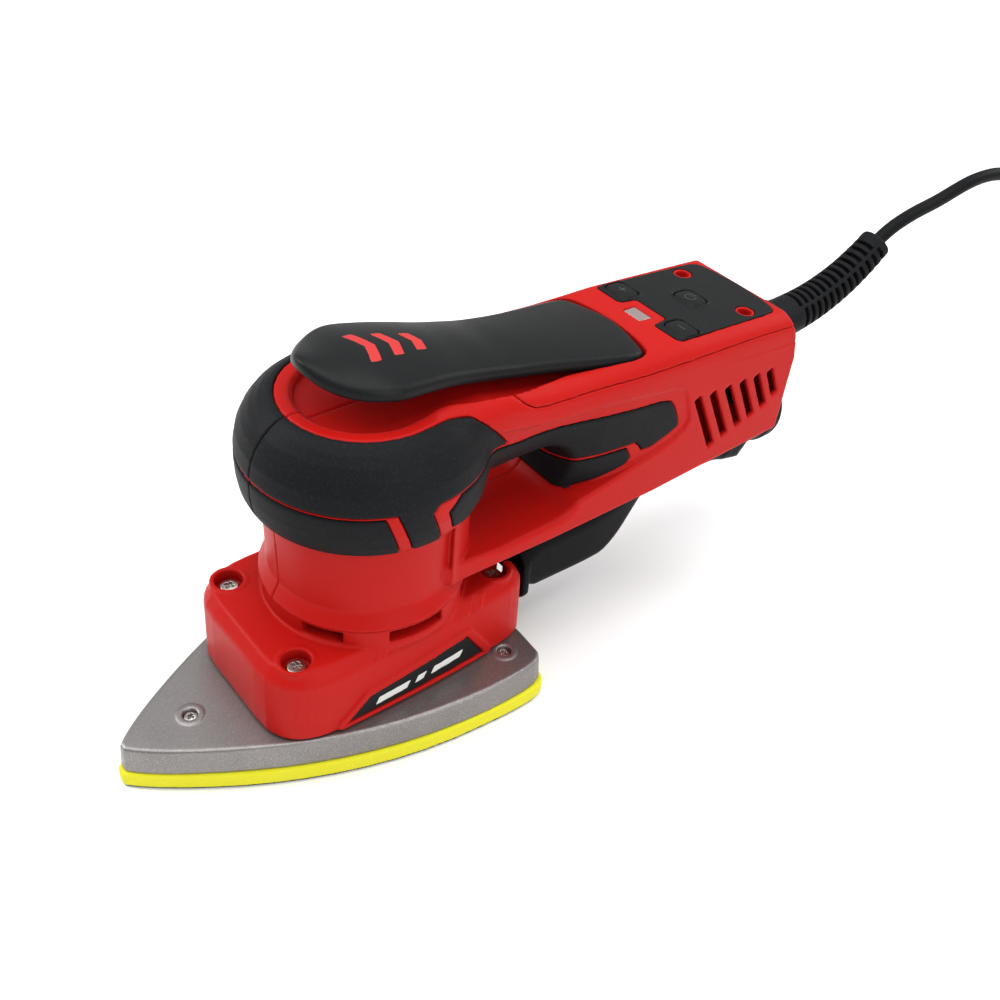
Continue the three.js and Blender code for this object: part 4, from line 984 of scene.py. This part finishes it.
# %% [markdown]
# ## Strain relief
# A smooth sleeve, then rows of slots that leave thin ribs, with bridges that change sides from
# one groove to the next, tapering along a bent line to a plain end ring.
# %% Strain relief
RELIEF_ROUTE = [(178, 92), (196, 92), (214, 92.4), (232, 95.2), (248, 100.8), (260, 107.6), (268, 113.6)]
sleeve = Lattice((0, 174, 76), (13.5, 274, 123), 0.35)
rx, ry, rz = sleeve.X, sleeve.Y, sleeve.Z
line = np.array([q[1:] for q in rounded_route([(0, *p) for p in RELIEF_ROUTE], 1.0)])
line = np.vstack([line, line[-1] + (line[-1] - line[-2]) * 2])
steps = np.linalg.norm(np.diff(line, axis=0), axis=1)
travelled = np.concatenate([[0], np.cumsum(steps)])
best = np.full((1, ry.shape[1], rz.shape[2]), 1e9, np.float32)
reach, offset = np.zeros_like(best), np.zeros_like(best)
for k, (a, b) in enumerate(zip(line, line[1:])):
    d = (b - a) / steps[k]
    raw = (ry - a[0]) * d[0] + (rz - a[1]) * d[1]
    t = np.clip(raw, -9 if k == 0 else 0, 9 if k == len(steps) - 1 else steps[k])
    away = (rz - a[1]) * d[0] - (ry - a[0]) * d[1]
    miss = (raw - t) ** 2 + away ** 2
    reach = np.where(miss < best, travelled[k] + t, reach)
    offset = np.where(miss < best, away, offset)
    best = np.minimum(best, miss)
total = travelled[-1]
spread = np.hypot(rx, offset)
outer_r = flowing(reach, [0, 24, 25.5, 27, total - 4, total], [11.2, 11.2, 10.6, 9.2, 7.2, 7.0], 1.0)
relief = smooth_max(spread - outer_r, np.maximum(1.5 - reach, reach - total + 1), 1.2)
RIBS, END_RING = 13, 4.6
first = 39.0
pitch = (total - END_RING - first) / RIBS
for k in range(2 * RIBS):
    centre = first + pitch * (k + 0.5) / 2
    facing = np.abs(rx) - np.abs(offset) if k % 2 == 0 else np.abs(offset) - np.abs(rx)
    groove = common(np.abs(reach - centre) - pitch * 0.24, 4.6 - spread, facing * 0.7 + 0.7)
    relief = smooth_max(relief, -groove, 0.3)
relief = smooth_max(relief, -(spread - 3.1), 0.3)
relief_piece = surface("strain_relief_looks", relief, sleeve, grip_rubber, mirrored=True, relax=1)
belongs(relief_piece, "housing", "grip_rubber", "strain_relief")
print("strain relief", len(relief_piece.data.polygons), "faces, line", round(float(total), 1), "mm")

# %% Plug with two pins, and the tie round the coil
PLUG_X, PLUG_Z = 99.5, 18.5
socket = Lattice((80, 333, 0), (119, 375, 38), 0.45)
px, py, pz = socket.X, socket.Y, socket.Z
plug_r = np.hypot(px - PLUG_X, pz - PLUG_Z)
body_r = flowing(py, [333, 341, 349, 359, 367, 374], [18.0, 17.9, 15.0, 9.8, 7.6, 5.6], 5)
plug = smooth_max(plug_r - body_r, np.maximum(335 - py, py - 373), 1.5)
for k in range(4):
    plug = smooth_max(plug, -common(np.abs(py - 357.5 - 3.6 * k) - 0.8, body_r - 1.1 - plug_r), 0.5)
for side in (-1, 1):
    plug = smooth_max(plug, -smooth_max(18.4 - side * (px - PLUG_X) - 5.0, np.abs(pz - PLUG_Z) - 7, 2), 1.0)
plug_piece = surface("plug_body_looks", common(plug, -(plug_r - 3.05 + 40 * (py < 369))), socket,
                     cord_sheath, relax=2)
belongs(plug_piece, "housing", "black_plastic", "plug_body")
pin_box = Lattice((PLUG_X - 13, 314.5, 15), (PLUG_X + 13, 338, 22), 0.3)
for k, side in enumerate((-1, 1)):
    pin_r = np.hypot(pin_box.X - PLUG_X - side * 9.5, pin_box.Z - PLUG_Z)
    pin = smooth_max(pin_r - 2.35, np.maximum(316 - pin_box.Y, pin_box.Y - 336.5), 1.4)
    pin_piece = surface(f"plug_pin_{k + 1}_looks", pin, pin_box, bright_steel, relax=1)
    belongs(pin_piece, "housing", "bright_steel", f"plug_pin_{k + 1}")
near = cord_line[(np.abs(cord_line[:, 0] - COIL_CENTRE[0]) < 9) & (cord_line[:, 1] > COIL_CENTRE[1] + 10)]
tie_low, tie_high = near.min(0) - CORD_R, near.max(0) + CORD_R
loop = Lattice((COIL_CENTRE[0] - 9, tie_low[1] - 4, -0.5),
               (COIL_CENTRE[0] + 9, tie_high[1] + 4, tie_high[2] + 4), 0.5)
centre = (COIL_CENTRE[0], (tie_low[1] + tie_high[1]) / 2, (tie_low[2] + tie_high[2]) / 2)
half = ((tie_high[1] - tie_low[1]) / 2 + 0.2, (tie_high[2] - tie_low[2]) / 2 + 0.2)
section = block(0 * loop.X, loop.Y, loop.Z, (0, *centre[1:]), (9, *half), 3.2)
band = smooth_max(smooth_max(section - 1.3, -section, 0.3), np.abs(loop.X - centre[0]) - 7, 0.5)
tie_piece = surface("cord_tie_looks", band, loop, grip_rubber, relax=2)
belongs(tie_piece, "housing", "black_plastic", "cord_tie")

# %% [markdown]
# ## Parts inside
# The motor, its bearings and boards show only through the slots. They keep their CAD shape
# and take a real finish each.
# %% Finishes for the parts inside
INSIDE = {
    "copper_winding": (copper_winding, ["motor_stator"]),
    "bright_steel": (bright_steel, ["lower_bearing", "upper_bearing", "motor_shaft", "rotor_core",
                                    "eccentric_weight", "drive_bearing", "lever_pin", "lever_spring"]),
    "cast_aluminium": (cast_aluminium, ["heat_sink"]),
    "circuit_board": (circuit_board, ["control_board", "keypad_board"]),
    "black_plastic": (black_plastic, ["motor_bracket", "cooling_fan", "lever_switch", "cord_clamp"]),
    "grip_rubber": (grip_rubber, [f"elastic_leg_{k}" for k in range(1, 5)]),
}
for slot_name, (material, nodes) in INSIDE.items():
    for node in nodes:
        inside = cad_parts[node]
        inside.data.materials.clear()
        inside.data.materials.append(material)
shown = [n for n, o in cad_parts.items() if not o.hide_render]
print("CAD nodes still shown:", ", ".join(sorted(shown)))

# %% [markdown]
# ## Studio
# A pale seamless floor and broad soft lamps: one large panel overhead, a key from the
# front left and two weaker ones from the right and from behind.
# %% Floor and lamps
floor_mesh = bpy.data.meshes.new("floor")
floor_mesh.from_pydata([(-6, -6, 0), (6, -6, 0), (6, 6, 0), (-6, 6, 0)], [], [(0, 1, 2, 3)])
floor_paint, _, _, floor_shader = start_material("studio_floor")
floor_shader.inputs["Base Color"].default_value = (0.93, 0.93, 0.93, 1)
floor_shader.inputs["Roughness"].default_value = 0.6
floor_mesh.materials.append(floor_paint)
floor = bpy.data.objects.new("floor", floor_mesh)
floor.location.z = -0.0003
scene.collection.objects.link(floor)
world = bpy.data.worlds.new("studio")
world.use_nodes = True
world.node_tree.nodes["Background"].inputs["Color"].default_value = (1.0, 1.0, 1.0, 1)
world.node_tree.nodes["Background"].inputs["Strength"].default_value = 0.56
scene.world = world
for name, place, size, watts in (("overhead", (0.0, 0.1, 1.3), 1.4, 17), ("key", (-0.9, -0.7, 0.9), 0.8, 12),
                                 ("right_fill", (1.2, 0.1, 0.7), 1.0, 8), ("rear", (0.2, 1.5, 0.8), 0.9, 6)):
    lamp = bpy.data.lights.new(name, "AREA")
    lamp.shape, lamp.size, lamp.energy = "SQUARE", size, watts
    lamp_object = bpy.data.objects.new(name, lamp)
    lamp_object.location = place
    lamp_object.rotation_mode = "QUATERNION"
    lamp_object.rotation_quaternion = (Vector((0.0, 0.05, 0.06)) - Vector(place)).to_track_quat("-Z", "Y")
    scene.collection.objects.link(lamp_object)
print("studio lit by", len(bpy.data.lights), "lamps")
